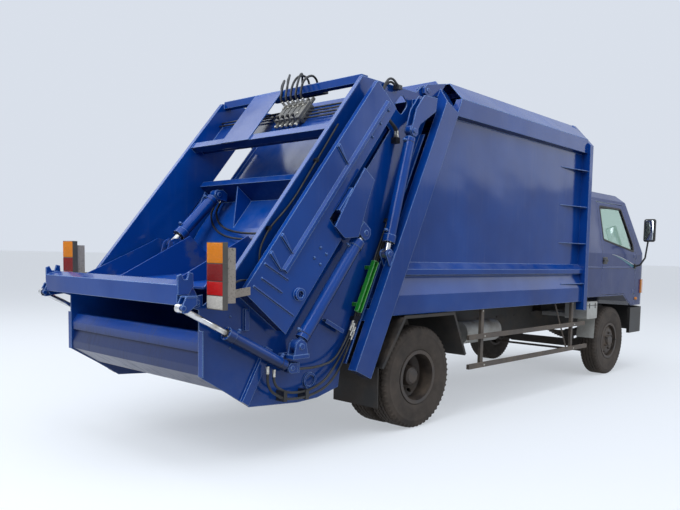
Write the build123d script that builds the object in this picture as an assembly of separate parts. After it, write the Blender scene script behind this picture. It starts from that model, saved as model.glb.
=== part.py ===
from build123d import *
from math import cos, hypot, radians, sin, tan
import os

# Rear-loading garbage truck: cab-over chassis, closed container and a compacting tailgate.
# X forward, Y left, Z up, origin on the ground under the middle of the truck, millimetres.
# The chassis and container are drawn from the rear axle, the cab from the front axle and the
# tailgate in a frame of its own that hangs on the container's hinge; write() moves them home.

# Chassis
WHEELBASE = 3850
FRONT_OVERHANG = 1050
RAIL_OUTER = 375
RAIL_BOTTOM = 590
RAIL_HEIGHT = 200
RAIL_FLANGE = 70
RAIL_THICK = 8
RAIL_REAR = -600
RAIL_TOP = RAIL_BOTTOM + RAIL_HEIGHT

# Wheels
TYRE_R = 420
TYRE_WIDTH = 208
BEAD_R = 205
RIM_FLANGE_R = 222
TWIN_PITCH = 245
REAR_TYRE_OUTER = 987
FRONT_TYRE_OUTER = 933
VENT_RING_R = 164
KINGPIN_Y = 660
KINGPIN_R = 18
SPINDLE_R = 28
RUNNING_FIT = 0.5
STEER_ARM = 170

# Container
BODY_HALF = 1000
RAIL_DEPTH = 60
WALL_OUTER = BODY_HALF - RAIL_DEPTH
SHEET = 6
WALL_INNER = WALL_OUTER - SHEET
FLOOR_BOTTOM = 945
FLOOR_THICK = 60
FLOOR_TOP = FLOOR_BOTTOM + FLOOR_THICK
ROOF_Z = 2920
RAIL_TOP_HIGH = ROOF_Z - 170
RAIL_TOP_LOW = ROOF_Z - 335
ROOF_FLAT_HALF = BODY_HALF - 200
FRONT_FRAME_X = WHEELBASE - 970
FRONT_FRAME_DEPTH = 70
FRONT_FRAME_HALF = BODY_HALF + 35

# Mouth of the container: a plane that leans forward with height
MOUTH_X = 245
MOUTH_Z = 2680
MOUTH_LEAN = 25.6
POST_DEPTH = 183
POST_HALF = BODY_HALF + 15
POST_FOOT_Z = 560
MOUTH_GAP = 8
HINGE_X = MOUTH_X + (ROOF_Z - 240 - MOUTH_Z) * tan(radians(MOUTH_LEAN)) - 95
HINGE_Z = ROOF_Z - 155
HINGE_PIN_R = 20

# Tailgate: drawn with its hinge at TAIL_HINGE, then moved by TAIL_DX and TAIL_DZ
# s runs down the rear slope from its top, p goes in from the slope at a right angle
TAIL_HINGE = (150, 2765)
TAIL_DX = HINGE_X - TAIL_HINGE[0]
TAIL_DZ = HINGE_Z - TAIL_HINGE[1]
GATE_TOP_X = -620
GATE_TOP_Z = 2730
GATE_LEAN = 38
WALL_HALF = BODY_HALF - 140
WALL_THICK = 8
COLUMN_HALF = BODY_HALF - 30
COLUMN_EDGE = 80
COLUMN_INNER = 352
COLUMN_LOW_INNER = 530
COLUMN_END = 1925
RIDGE_P = 261
GATE_REAR_X = -1987

# Packer: carrier that slides along s, blade that swings from its foot
CARRIER_HALF = WALL_HALF - 18
PANEL_P = 485
PANEL_THICK = 8
SHELF_S = 736
SHELF_P = 277
BLADE_PIVOT = (-1050, 1300)
BLADE_R = 889
BLADE_OPEN = 8.1
BLADE_HALF = CARRIER_HALF - 4
TROUGH_R = 913
SLOT_START = 60
SLOT_END = 1080
SLIDE_P = 667
SLIDE_Y = COLUMN_HALF
SLIDE_LOW_S = 1947
SLIDE_HIGH_S = 950
BLADE_RAM_Y = 600
BLADE_RAM_TOP = (-854, 1895)
BLADE_RAM_LOW = (-1285, 1461)

# Bin lift and raise cylinders
LIFT_PIVOT = (-2020, 1100)
LIFT_RAM_TOP = (-2156, 1074)
LIFT_RAM_LOW = (-1330, 635)
LIFT_RAM_Y = WALL_HALF + 70
LIFT_EYE_R = 36
LIFT_STROKE = 200
BEAM_HALF = WALL_HALF + 24
RAISE_TOP = (-143, 2388)
RAISE_LOW = (-410, 1421)
RAISE_Y = BODY_HALF - 34
LINE_R = 9

# Cab, drawn from the front axle
CAB_REAR = -820
CAB_FRONT = 1010
CAB_HALF = 985
CAB_ROOF_HALF = 865
CAB_ROOF_Z = 2235
CAB_BELT_Z = 1500
CAB_FLOOR_Z = 985
CAB_SILL_Z = 845
CAB_WALL = 40
CAB_CORNER_R = 250
GLASS_INSET = 12
GLASS_THICK = 6
DOOR_REAR = -420
DOOR_FRONT = 580
DOOR_GAP = 7
BUMPER_LOW = 487
BUMPER_TOP = 815
BUMPER_THICK = 40
TILT_X = 985
TILT_Z = 700

# The origin is under the middle of the length, from the lift cylinders' eyes to the bumper
REAR_OVERHANG = 0.75 * LIFT_EYE_R - LIFT_RAM_TOP[0]
REAR_AXLE_X = (REAR_OVERHANG - WHEELBASE - FRONT_OVERHANG) / 2


def along_y(sketch, low, high):
    """Plate or bar whose outline is drawn in (x, z)."""
    return extrude(Plane.XZ.offset(-high) * sketch, amount=high - low)


def along_x(sketch, low, high):
    """Plate or bar whose outline is drawn in (y, z)."""
    return extrude(Plane.YZ.offset(low) * sketch, amount=high - low)


def along_z(sketch, low, high):
    """Plate or bar whose outline is drawn in (x, y)."""
    return extrude(Plane.XY.offset(low) * sketch, amount=high - low)


def signed_area(points):
    return sum(a[0] * b[1] - b[0] * a[1] for a, b in zip(points, points[1:] + points[:1])) / 2


def outline(points):
    """Face with these corners, turned so that it always extrudes to the plane's front."""
    return Polygon(*(points if signed_area(points) > 0 else points[::-1]), align=None)


def block(x0, x1, y0, y1, z0, z1):
    return Pos((x0 + x1) / 2, (y0 + y1) / 2, (z0 + z1) / 2) * Box(x1 - x0, y1 - y0, z1 - z0)


def pin(place, radius, low, high):
    """Round bar along Y at place (x, z)."""
    return along_y(Pos(place[0], place[1]) * Circle(radius), low, high)


def ring(place, outer, inner, low, high):
    return along_y(Pos(place[0], place[1]) * (Circle(outer) - Circle(inner)), low, high)


def bar(start, end, radius):
    """Round bar between two points in space."""
    run = Vector(*end) - Vector(*start)
    upright = (Align.CENTER, Align.CENTER, Align.MIN)
    return Plane(origin=start, z_dir=run) * Cylinder(radius, run.length, align=upright)


def both(shape):
    """The shape and its mirror image across the middle of the truck."""
    return shape + mirror(shape, Plane.XZ)


def fused(shapes):
    """All the shapes as one."""
    total = None
    for shape in shapes:
        total = shape if total is None else total + shape
    return total


def left_of(a, b):
    """Unit vector to the left of the run from a to b."""
    run = hypot(b[0] - a[0], b[1] - a[1])
    return ((a[1] - b[1]) / run, (b[0] - a[0]) / run)


def mitre(before, point, after, distance):
    """Corner moved to the left of its two runs, so that each run moves by the distance."""
    n0, n1 = left_of(before, point), left_of(point, after)
    scale = distance / (1 + n0[0] * n1[0] + n0[1] * n1[1])
    return (point[0] + scale * (n0[0] + n1[0]), point[1] + scale * (n0[1] + n1[1]))


def folded(points, thickness):
    """Outline of a folded sheet: points along one face, thickness to the left of their run."""
    first, last = left_of(points[0], points[1]), left_of(points[-2], points[-1])
    far = [(points[0][0] + first[0] * thickness, points[0][1] + first[1] * thickness)]
    far += [mitre(a, b, c, thickness) for a, b, c in zip(points, points[1:], points[2:])]
    far += [(points[-1][0] + last[0] * thickness, points[-1][1] + last[1] * thickness)]
    return outline(list(points) + far[::-1])


def inset(points, distance):
    """Closed outline moved inwards by a distance, or outwards by a negative one."""
    if signed_area(points) < 0:
        points = points[::-1]
    return [mitre(a, b, c, distance) for a, b, c in
            zip(points[-1:] + points[:-1], points, points[1:] + points[:1])]


def mouth(z, gap=0):
    """X of the container's slanted mouth at a height, gap measured square to it, rearwards."""
    return MOUTH_X + (z - MOUTH_Z) * tan(radians(MOUTH_LEAN)) - gap / cos(radians(MOUTH_LEAN))


def tail_mouth(z, gap=0):
    """The same plane in the tailgate's own frame."""
    return mouth(z + TAIL_DZ, gap) - TAIL_DX


def gate(s, p):
    """(x, z) of a point given down and into the tailgate's rear slope."""
    lean = radians(GATE_LEAN)
    return (GATE_TOP_X - s * sin(lean) + p * cos(lean), GATE_TOP_Z - s * cos(lean) - p * sin(lean))


def gate_plate(points, low, high):
    return along_y(outline([gate(s, p) for s, p in points]), low, high)


def gate_bar(s0, s1, p0, p1, low, high):
    return gate_plate([(s0, p0), (s1, p0), (s1, p1), (s0, p1)], low, high)


def gate_section(points, s0, s1):
    """Bar down the slope whose section is drawn in (p, y)."""
    start, lean = gate(s0, 0), radians(GATE_LEAN)
    down = Plane(origin=(start[0], 0, start[1]), x_dir=(cos(lean), 0, -sin(lean)),
                 z_dir=(-sin(lean), 0, -cos(lean)))
    return extrude(down * outline([(p, -y) for p, y in points]), amount=s1 - s0)


def step(place, other, along, aside=0):
    """Point at a distance along the line from place to other, and aside to its left."""
    run = hypot(other[0] - place[0], other[1] - place[1])
    ux, uz = (other[0] - place[0]) / run, (other[1] - place[1]) / run
    return (place[0] + ux * along - uz * aside, place[1] + uz * along + ux * aside)


def ram(base, tip, y, barrel_r, rod_r, barrel_len, eye_r, eye_width, pin_r, pull_in=0):
    """Hydraulic cylinder from its base pin to its rod's eye: barrel with gland and ports, and rod.
    The rod is shorter inside by what it is pulled in from here."""
    half = eye_width / 2

    def at(along, aside=0):
        x, z = step(base, tip, along, aside)
        return (x, y, z)

    barrel = bar(at(eye_r * 0.7), at(eye_r + 18), half * 0.85)
    barrel += bar(at(eye_r + 12), at(barrel_len), barrel_r)
    barrel += bar(at(barrel_len - 45), at(barrel_len + 12), barrel_r + 6)
    barrel += pin(base, eye_r, y - half, y + half)
    barrel -= bar(at(eye_r + 25), at(barrel_len + 40), rod_r + 1)
    barrel -= pin(base, pin_r + RUNNING_FIT, y - half - 1, y + half + 1)
    length = hypot(tip[0] - base[0], tip[1] - base[1])
    rod = bar(at(eye_r + 60 + pull_in), at(length), rod_r)
    rod += pin(tip, eye_r * 0.75, y - half, y + half)
    return barrel, rod


def ears(points, y, gap, thick, place, pin_r, head=12):
    """Two ear plates either side of an eye, with the pin through them."""
    plates = along_y(outline(points), y + gap / 2, y + gap / 2 + thick)
    plates += along_y(outline(points), y - gap / 2 - thick, y - gap / 2)
    return plates + pin(place, pin_r, y - gap / 2 - thick - head, y + gap / 2 + thick + head)


def end_ears(points, y, gap, thick, place, pin_r, head=12):
    """Ear plates for a rod's eye: the pin shows outside each ear and stops at its face."""
    plates = along_y(outline(points), y + gap / 2, y + gap / 2 + thick)
    plates += along_y(outline(points), y - gap / 2 - thick, y - gap / 2)
    plates += pin(place, pin_r, y + gap / 2, y + gap / 2 + thick + head)
    return plates + pin(place, pin_r, y - gap / 2 - thick - head, y - gap / 2)


def kite(place, other, radius, reach, spread):
    """Ear outline: a rounded nose at place and a wide foot towards other."""
    nose = [step(place, other, -radius * cos(a), radius * sin(a)) for a in (-1.2, -0.6, 0, 0.6, 1.2)]
    return nose + [step(place, other, reach, spread), step(place, other, reach, -spread)]


# Ladder frame
def chassis_frame():
    front = WHEELBASE + FRONT_OVERHANG - BUMPER_THICK - 0.3
    channel = outline([(RAIL_OUTER, RAIL_BOTTOM), (RAIL_OUTER, RAIL_TOP),
                       (RAIL_OUTER - RAIL_FLANGE, RAIL_TOP),
                       (RAIL_OUTER - RAIL_FLANGE, RAIL_TOP - RAIL_THICK),
                       (RAIL_OUTER - RAIL_THICK, RAIL_TOP - RAIL_THICK),
                       (RAIL_OUTER - RAIL_THICK, RAIL_BOTTOM + RAIL_THICK),
                       (RAIL_OUTER - RAIL_FLANGE, RAIL_BOTTOM + RAIL_THICK),
                       (RAIL_OUTER - RAIL_FLANGE, RAIL_BOTTOM)])
    frame = both(along_x(channel, RAIL_REAR, front))
    inner = RAIL_OUTER - RAIL_THICK
    for x in (-540, 560, 1500, WHEELBASE - 1550, WHEELBASE + 850):
        frame += block(x - 40, x + 40, -inner, inner, RAIL_BOTTOM + 80, RAIL_BOTTOM + 160)
    # long sills under the container and their outriggers
    sill_rear = mouth(FLOOR_BOTTOM) + POST_DEPTH / cos(radians(MOUTH_LEAN)) + 5
    sill = block(sill_rear, FRONT_FRAME_X, RAIL_OUTER - RAIL_FLANGE, RAIL_OUTER, RAIL_TOP, FLOOR_BOTTOM)
    frame += both(sill)
    # cab tilt brackets
    flange_edge, tilt_x = RAIL_OUTER - RAIL_FLANGE, WHEELBASE + TILT_X
    frame += both(block(tilt_x - 60, front, flange_edge - 14, flange_edge + 2, RAIL_BOTTOM, RAIL_TOP))
    return frame - both(pin((tilt_x, TILT_Z), 15 + RUNNING_FIT, flange_edge - 15, flange_edge + 3))


# Axles and leaf springs
def spring(x, centre_y, leaves, half_length, seat_z, rise):
    """Leaf pack with its clamp and the hangers at both ends."""
    pack = block(x - 50, x + 50, centre_y - 42, centre_y + 42, seat_z - 8, seat_z + leaves * 12 + 10)
    for i in range(leaves):
        reach = half_length * (1 - 0.8 * i / leaves)
        low = seat_z + (leaves - 1 - i) * 12
        end = low + rise * (reach / half_length) ** 2
        under = ThreePointArc((x - reach, end), (x, low), (x + reach, end))
        over = ThreePointArc((x + reach, end + 12), (x, low + 12), (x - reach, end + 12))
        sides = Line(under @ 1, over @ 0) + Line(over @ 1, under @ 0)
        pack += along_y(make_face(under + over + sides), centre_y - 35, centre_y + 35)
    for end in (x - half_length, x + half_length):
        hanger_z = seat_z + leaves * 12 + rise - 26
        pack += block(end - 30, end + 30, centre_y - 35, centre_y + 30, hanger_z, RAIL_BOTTOM)
    return pack


def front_axle():
    x = WHEELBASE
    beam = outline([(-KINGPIN_Y, 350), (-560, 345), (-460, 300), (460, 300), (560, 345), (KINGPIN_Y, 350),
                    (KINGPIN_Y, 490), (600, 480), (440, 390), (-440, 390), (-600, 480), (-KINGPIN_Y, 490)])
    axle = along_x(beam, x - 35, x + 35)
    axle += both(Pos(x, KINGPIN_Y, 420) * Cylinder(38, 140))
    axle -= both(Pos(x, 0, 0) * block(-60, 60, KINGPIN_Y + 38, KINGPIN_Y + 90, 300, 560))
    axle += both(Pos(x, KINGPIN_Y, 420) * Cylinder(KINGPIN_R, 236))
    axle += both(block(x - 60, x + 60, 340, 420, 388, 424))
    return axle + both(spring(x, 380, 7, 620, 424, 70))


def rear_axle():
    tube_end = REAR_TYRE_OUTER - TYRE_WIDTH - TWIN_PITCH + 70
    axle = bar((0, -tube_end, TYRE_R), (0, tube_end, TYRE_R), 62)
    axle += Pos(0, 0, TYRE_R) * Sphere(185)
    axle += Pos(0, 0, TYRE_R) * Rot(90, 0, 0) * Cylinder(170, 110)
    axle += bar((100, 0, TYRE_R), (330, 0, TYRE_R + 20), 75)
    axle += both(bar((0, tube_end, TYRE_R), (0, REAR_TYRE_OUTER - 95, TYRE_R), SPINDLE_R))
    axle += both(block(-70, 70, 345, 415, TYRE_R + 50, TYRE_R + 70))
    return axle + both(spring(0, 380, 6, 560, TYRE_R + 62, 34))


def driveline():
    x = WHEELBASE
    engine = block(x - 610, x + 200, -290, 290, 640, 955)
    gearbox = block(x - 1070, x - 610, -190, 190, 560, 900)
    shaft = bar((330.5, 0, TYRE_R + 20), (x - 1060, 0, 640), 42)
    mounts = both(block(x - 370, x - 290, 285, RAIL_OUTER - RAIL_FLANGE - 0.3, RAIL_TOP - 40, RAIL_TOP))
    return engine + gearbox + shaft + mounts


# Wheels: each turned about its axle from a profile in (radius, y)
def turned(points, x):
    """Solid of revolution about the wheel's axle at x; points are (y, radius)."""
    profile = Plane.YZ * outline([(y, radius) for y, radius in points])
    return Pos(x, 0, TYRE_R) * revolve(profile, axis=Axis.Y)


def vents(x, low, high, count, radius):
    """Round hand holes through a wheel's disc, on a ring about its axle."""
    holes = [Pos(VENT_RING_R * cos(a), VENT_RING_R * sin(a)) * Circle(radius)
             for a in [radians(360 * i / count) for i in range(count)]]
    return Pos(x, 0, TYRE_R) * fused([along_y(hole, low, high) for hole in holes])


def tyre(x, outer_y):
    w = TYRE_WIDTH
    half = [(18, BEAD_R), (18, RIM_FLANGE_R + 4), (2, BEAD_R + 60), (0, BEAD_R + 110), (4, TYRE_R - 35),
            (14, TYRE_R - 8), (34, TYRE_R)]
    near = [(outer_y - y, radius) for y, radius in half]
    far = [(outer_y - w + y, radius) for y, radius in half]
    return turned(near + far[::-1], x)


def front_rim(x):
    outer = FRONT_TYRE_OUTER
    b, r = SPINDLE_R + RUNNING_FIT, BEAD_R - 0.3
    rim = turned([(outer - 8, RIM_FLANGE_R), (outer - 16, RIM_FLANGE_R), (outer - 17.7, r),
                  (outer - TYRE_WIDTH + 17.7, r), (outer - TYRE_WIDTH + 16, RIM_FLANGE_R),
                  (outer - TYRE_WIDTH + 8, RIM_FLANGE_R), (outer - TYRE_WIDTH + 8, r - 12),
                  (outer - 70, r - 12), (outer - 40, 140), (outer - 34, 112), (outer - 60, 70),
                  (outer - 150, 60), (outer - 150, b), (outer - 22, b), (outer - 22, 0),
                  (outer + 5, 0), (outer + 5, 62), (outer - 20, 70), (outer - 20, 118),
                  (outer - 28, 146), (outer - 50, r - 12), (outer - 8, r - 12)], x)
    return rim - vents(x, outer - 120, outer, 6, 17)


def rear_rims():
    outer = REAR_TYRE_OUTER
    b, r, w = SPINDLE_R + RUNNING_FIT, BEAD_R - 0.3, TYRE_WIDTH
    mid = outer - TYRE_WIDTH - (TWIN_PITCH - TYRE_WIDTH) / 2
    outer_rim = [(outer - 8, r - 12), (outer - 8, RIM_FLANGE_R), (outer - 16, RIM_FLANGE_R),
                 (outer - 17.7, r), (outer - w + 17.7, r), (outer - w + 16, RIM_FLANGE_R),
                 (outer - w + 8, RIM_FLANGE_R), (outer - w + 8, r - 12), (outer - w + 30, r - 12),
                 (mid + 30, 150), (mid + 8, 130), (mid, 130), (mid, 90), (mid + 20, 90), (mid + 20, 130),
                 (mid + 44, 150), (outer - w + 60, r - 12)]
    inner_rim = [(2 * mid - y, radius) for y, radius in outer_rim]
    hub = [(outer - 60, 0), (outer - 60, 55), (outer - 75, 75), (mid + 60, 92), (mid + 20, 105),
           (mid - 60, 105), (mid - 80, 80), (mid - 80, b), (outer - 92, b), (outer - 92, 0)]
    return turned(outer_rim, 0) + turned(inner_rim, 0) + turned(hub, 0) - vents(0, mid - 80, mid + 80, 6, 17)


def knuckle():
    x, y = WHEELBASE, KINGPIN_Y
    body = Pos(x, y, 517) * Cylinder(38, 46) + Pos(x, y, 323) * Cylinder(38, 46)
    body += block(x - 30, x + 30, y + 42, y + 62, 300, 540)
    body += block(x - 30, x + 30, y, y + 62, 500, 540) + block(x - 30, x + 30, y, y + 62, 300, 340)
    body += bar((x, y + 62, TYRE_R), (x, FRONT_TYRE_OUTER - 30, TYRE_R), SPINDLE_R)
    arm = outline([(x, y - 20), (x - STEER_ARM, y - 60), (x - STEER_ARM, y - 20), (x, y + 30)])
    body += along_z(arm, 300, 325)
    return body - Pos(x, y, 420) * Cylinder(KINGPIN_R + RUNNING_FIT, 260)


def tie_rod():
    x, reach = WHEELBASE - STEER_ARM + 20, KINGPIN_Y - 45
    rod = bar((x, -reach, 282), (x, reach, 282), 14)
    return rod + both(Pos(x, reach, 284.6) * Cylinder(24, 30))


# Chassis fittings
def fuel_tank():
    section = outline([(430, 420), (830, 420), (830, 800), (430, 800)])
    shell = along_x(fillet(section.vertices(), 60), 1350, 2150)
    for x in (1500, 2000):
        strap = outline([(424, 414), (836, 414), (836, 806), (424, 806)])
        shell += along_x(fillet(strap.vertices(), 62), x - 20, x + 20)
        shell += block(x - 25, x + 25, RAIL_OUTER + 0.3, 432, 620, 760)
    shell += bar((2080, 690, 798), (2080, 690, 822), 38)
    return shell


def battery_box():
    x = WHEELBASE
    box = fillet(outline([(x - 770, 730), (x - 500, 730), (x - 500, 930), (x - 770, 930)]).vertices(), 18)
    box = along_y(box, -980, -700)
    box += block(x - 730, x - 540, -702, -RAIL_OUTER - 0.3, 740, 785)
    tank_x, tank_y, tank_z = (1050, 1650), -620, 680
    reservoir = bar((tank_x[0], tank_y, tank_z), (tank_x[1], tank_y, tank_z), 110)
    for tank_mount in (1200, 1500):
        reservoir += block(tank_mount - 20, tank_mount + 20, tank_y, -RAIL_OUTER - 0.3, tank_z - 20,
                           tank_z + 20)
    splash = along_y(folded([(x - 498, 925), (x - 510, 700), (x - 525, 490)], 5), -960, -740)
    return box + splash + reservoir


GUARD_BARS = [  # low z, high z, rear x, front x
    (406, 449, 700, WHEELBASE - 780),
    (672, 715, 690, WHEELBASE - 850)]
GUARD_POSTS = (940, WHEELBASE - 1115)


def side_guards():
    rails = [block(rear, front, -BODY_HALF, -BODY_HALF + 30, low, high)
             for low, high, rear, front in GUARD_BARS]
    posts = [block(x - 22, x + 22, -BODY_HALF + 30, -BODY_HALF + 60, 406, FLOOR_BOTTOM) for x in GUARD_POSTS]
    brace_x = WHEELBASE - 1500
    brace = bar((brace_x, -BODY_HALF + 45, FLOOR_BOTTOM - 8), (brace_x + 250, -BODY_HALF + 25, 440), 8)
    return both(fused(rails + posts) + brace)


FENDER_LINE = [(-505, 548), (-250, 919), (380, 919), (557, 555)]


def rear_fenders():
    wide = BODY_HALF + 40
    sheet = along_y(folded(FENDER_LINE, 6), 500, wide)
    lip = along_y(folded(FENDER_LINE, 24), wide, wide + 10)
    flap = block(-516, -506, 520, BODY_HALF, 240, 556)
    hang = block(-220, -180, 880, 930, 921, FLOOR_BOTTOM - 0.3)
    hang += block(180, 220, 880, 930, 921, FLOOR_BOTTOM - 0.3)
    return both(sheet + lip + flap + hang)


# Container
WALL_PROFILE = [  # y, height above the floor's underside or below the roof
    (BODY_HALF, FLOOR_BOTTOM), (BODY_HALF, FLOOR_BOTTOM + 155), (WALL_OUTER + 18, FLOOR_BOTTOM + 287),
    (WALL_OUTER + 18, FLOOR_BOTTOM + 307), (BODY_HALF, FLOOR_BOTTOM + 317), (BODY_HALF, FLOOR_BOTTOM + 361),
    (WALL_OUTER, FLOOR_BOTTOM + 417), (WALL_OUTER, RAIL_TOP_LOW), (BODY_HALF, RAIL_TOP_LOW + 12),
    (BODY_HALF, RAIL_TOP_HIGH), (WALL_INNER, RAIL_TOP_HIGH), (WALL_INNER, FLOOR_BOTTOM)]


def behind_frame():
    """Everything behind the front face of the rear frame, to trim the container's panels."""
    depth = POST_DEPTH / cos(radians(MOUTH_LEAN))
    wide, high = BODY_HALF + 500, ROOF_Z + 1000
    return along_y(outline([(mouth(0) + depth, 0), (mouth(high) + depth, high), (-high, high), (-high, 0)]),
                   -wide, wide)


def container_sides():
    wall = along_x(outline(WALL_PROFILE), -1200, FRONT_FRAME_X)
    return both(wall - behind_frame())


def container_floor():
    floor = block(-1200, FRONT_FRAME_X, -WALL_INNER, WALL_INNER, FLOOR_TOP - 8, FLOOR_TOP)
    first, pitch = -200, 400
    for i in range(int((FRONT_FRAME_X - 80 - first) // pitch) + 1):
        x = first + pitch * i
        floor += block(x - 25, x + 25, -WALL_INNER, WALL_INNER, FLOOR_BOTTOM, FLOOR_TOP - 8)
    return floor - behind_frame()


def container_roof():
    line = [(BODY_HALF, RAIL_TOP_HIGH), (ROOF_FLAT_HALF, ROOF_Z), (-ROOF_FLAT_HALF, ROOF_Z),
            (-BODY_HALF, RAIL_TOP_HIGH)]
    roof = along_x(folded(line, SHEET), -400, FRONT_FRAME_X)
    roof -= block(-500, FRONT_FRAME_X + 100, -BODY_HALF - 100, BODY_HALF + 100, RAIL_TOP_HIGH - 150,
                  RAIL_TOP_HIGH + 0.3)
    for x in (900, 1600, 2300):
        roof += block(x - 30, x + 30, -ROOF_FLAT_HALF + 40, ROOF_FLAT_HALF - 40, ROOF_Z - 46, ROOF_Z - SHEET)
    return roof - behind_frame()


GUSSETS = [  # height, inner edge
    (FLOOR_BOTTOM + 205, BODY_HALF - 14),
    (FLOOR_BOTTOM + 650, WALL_OUTER),
    (FLOOR_BOTTOM + 1055, WALL_OUTER),
    (RAIL_TOP_LOW - 185, WALL_OUTER)]
GUSSET_REACH = 480


def container_front():
    side_top = RAIL_TOP_HIGH
    wall = along_x(outline([(-WALL_INNER, FLOOR_BOTTOM), (WALL_INNER, FLOOR_BOTTOM), (WALL_INNER, side_top),
                            (ROOF_FLAT_HALF - 10, ROOF_Z - 20), (-ROOF_FLAT_HALF + 10, ROOF_Z - 20),
                            (-WALL_INNER, side_top)]), FRONT_FRAME_X, FRONT_FRAME_X + SHEET)
    end, half, crown = FRONT_FRAME_X + FRONT_FRAME_DEPTH, FRONT_FRAME_HALF, ROOF_FLAT_HALF + 5
    frame = along_x(outline([(-half, FLOOR_BOTTOM - 95), (half, FLOOR_BOTTOM - 95), (half, side_top - 65),
                             (crown, ROOF_Z + 5), (-crown, ROOF_Z + 5), (-half, side_top - 65)]),
                    FRONT_FRAME_X, end)
    inner, eaves = WALL_INNER - 30, ROOF_FLAT_HALF - 50
    hole = along_x(outline([(-inner, FLOOR_TOP - 5), (inner, FLOOR_TOP - 5), (inner, side_top - 110),
                            (eaves, ROOF_Z - 90), (-eaves, ROOF_Z - 90), (-inner, side_top - 110)]),
                   FRONT_FRAME_X - 1, end + 1)
    foot_gap = block(FRONT_FRAME_X - 1, end + 1, -WALL_INNER, WALL_INNER, FLOOR_BOTTOM - 105, FLOOR_BOTTOM)
    front = wall + (frame - hole - foot_gap)
    for z, inner in GUSSETS:
        rib = outline([(FRONT_FRAME_X + 1, inner + 0.3), (FRONT_FRAME_X - GUSSET_REACH, inner + 0.3),
                       (FRONT_FRAME_X - GUSSET_REACH, inner + 6), (FRONT_FRAME_X + 1, FRONT_FRAME_HALF - 15)])
        front += both(along_z(rib, z - 4, z + 4))
    return front


def rear_frame():
    lean = radians(MOUTH_LEAN)
    plane = Plane(origin=(mouth(0), 0, 0), x_dir=(0, 1, 0), z_dir=(cos(lean), 0, -sin(lean)))

    def on_slope(corners):
        """Outline on the mouth's plane of corners given as (y, height)."""
        return outline([(y, z / cos(lean)) for y, z in corners])

    half, eaves, crown = POST_HALF, RAIL_TOP_HIGH - 60, ROOF_FLAT_HALF + 12
    outer = on_slope([(-half, POST_FOOT_Z), (half, POST_FOOT_Z), (half, eaves), (crown, ROOF_Z - 25),
                      (-crown, ROOF_Z - 25), (-half, eaves)])
    header, arch = RAIL_TOP_LOW + 25, ROOF_FLAT_HALF - 30
    inside = on_slope([(-WALL_INNER, FLOOR_TOP), (WALL_INNER, FLOOR_TOP), (WALL_INNER, header),
                       (arch, RAIL_TOP_HIGH - 10), (-arch, RAIL_TOP_HIGH - 10), (-WALL_INNER, header)])
    under = on_slope([(-WALL_INNER, 0), (WALL_INNER, 0), (WALL_INNER, FLOOR_BOTTOM - 30),
                      (-WALL_INNER, FLOOR_BOTTOM - 30)])
    frame = extrude(plane * (outer - inside - under), amount=POST_DEPTH)
    # hinge lugs on the header, either side of the tailgate's wall
    lug = outline([(HINGE_X - 45, HINGE_Z - 25), (HINGE_X - 45, HINGE_Z + 20), (HINGE_X - 15, HINGE_Z + 48),
                   (mouth(ROOF_Z - 60) + 60, ROOF_Z - 50), (mouth(ROOF_Z - 175) + 10, ROOF_Z - 175),
                   (HINGE_X, HINGE_Z - 48)])
    for low, high in ((WALL_HALF - 60, WALL_HALF - 34), (WALL_HALF + 6, WALL_HALF + 32)):
        frame += both(along_y(lug, low, high))
    frame += both(pin((HINGE_X, HINGE_Z), HINGE_PIN_R, WALL_HALF - 66, WALL_HALF + 38))
    # ears for the raise cylinders' rods
    eye = (RAISE_LOW[0] + TAIL_DX, RAISE_LOW[1] + TAIL_DZ)
    foot = (mouth(eye[1] - 60) + 20, eye[1] - 60)
    frame += both(end_ears(kite(eye, foot, 40, 75, 55), RAISE_Y, 50.6, 12, eye, 20, 8))
    return frame


# Tailgate
def gate_wall_outline():
    x, z = TAIL_HINGE
    return outline([gate(0, 0), gate(2017, 0), (GATE_REAR_X, 1060), (GATE_REAR_X, 640), (-1788, 514),
                    (-1611, 395), (-1195, 366), (-1010, 374), (-800, 427), (tail_mouth(560, MOUTH_GAP), 560),
                    (tail_mouth(z - 75, MOUTH_GAP), z - 75), (x + 58, z - 20), (x + 40, z + 35), (x, z + 52),
                    (x - 40, z + 35), (x - 120, z - 30), (-560, z - 30)])


COLUMN_TIES = [  # s and p of one end, s and p of the other
    (1685, 100, 1650, 319),
    (1773, 138, 1746, 331),
    (1851, 120, 1810, 505)]
COLUMN_FINS = (624, 1440, 1587)
BOSS = (1669, 454)


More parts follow.
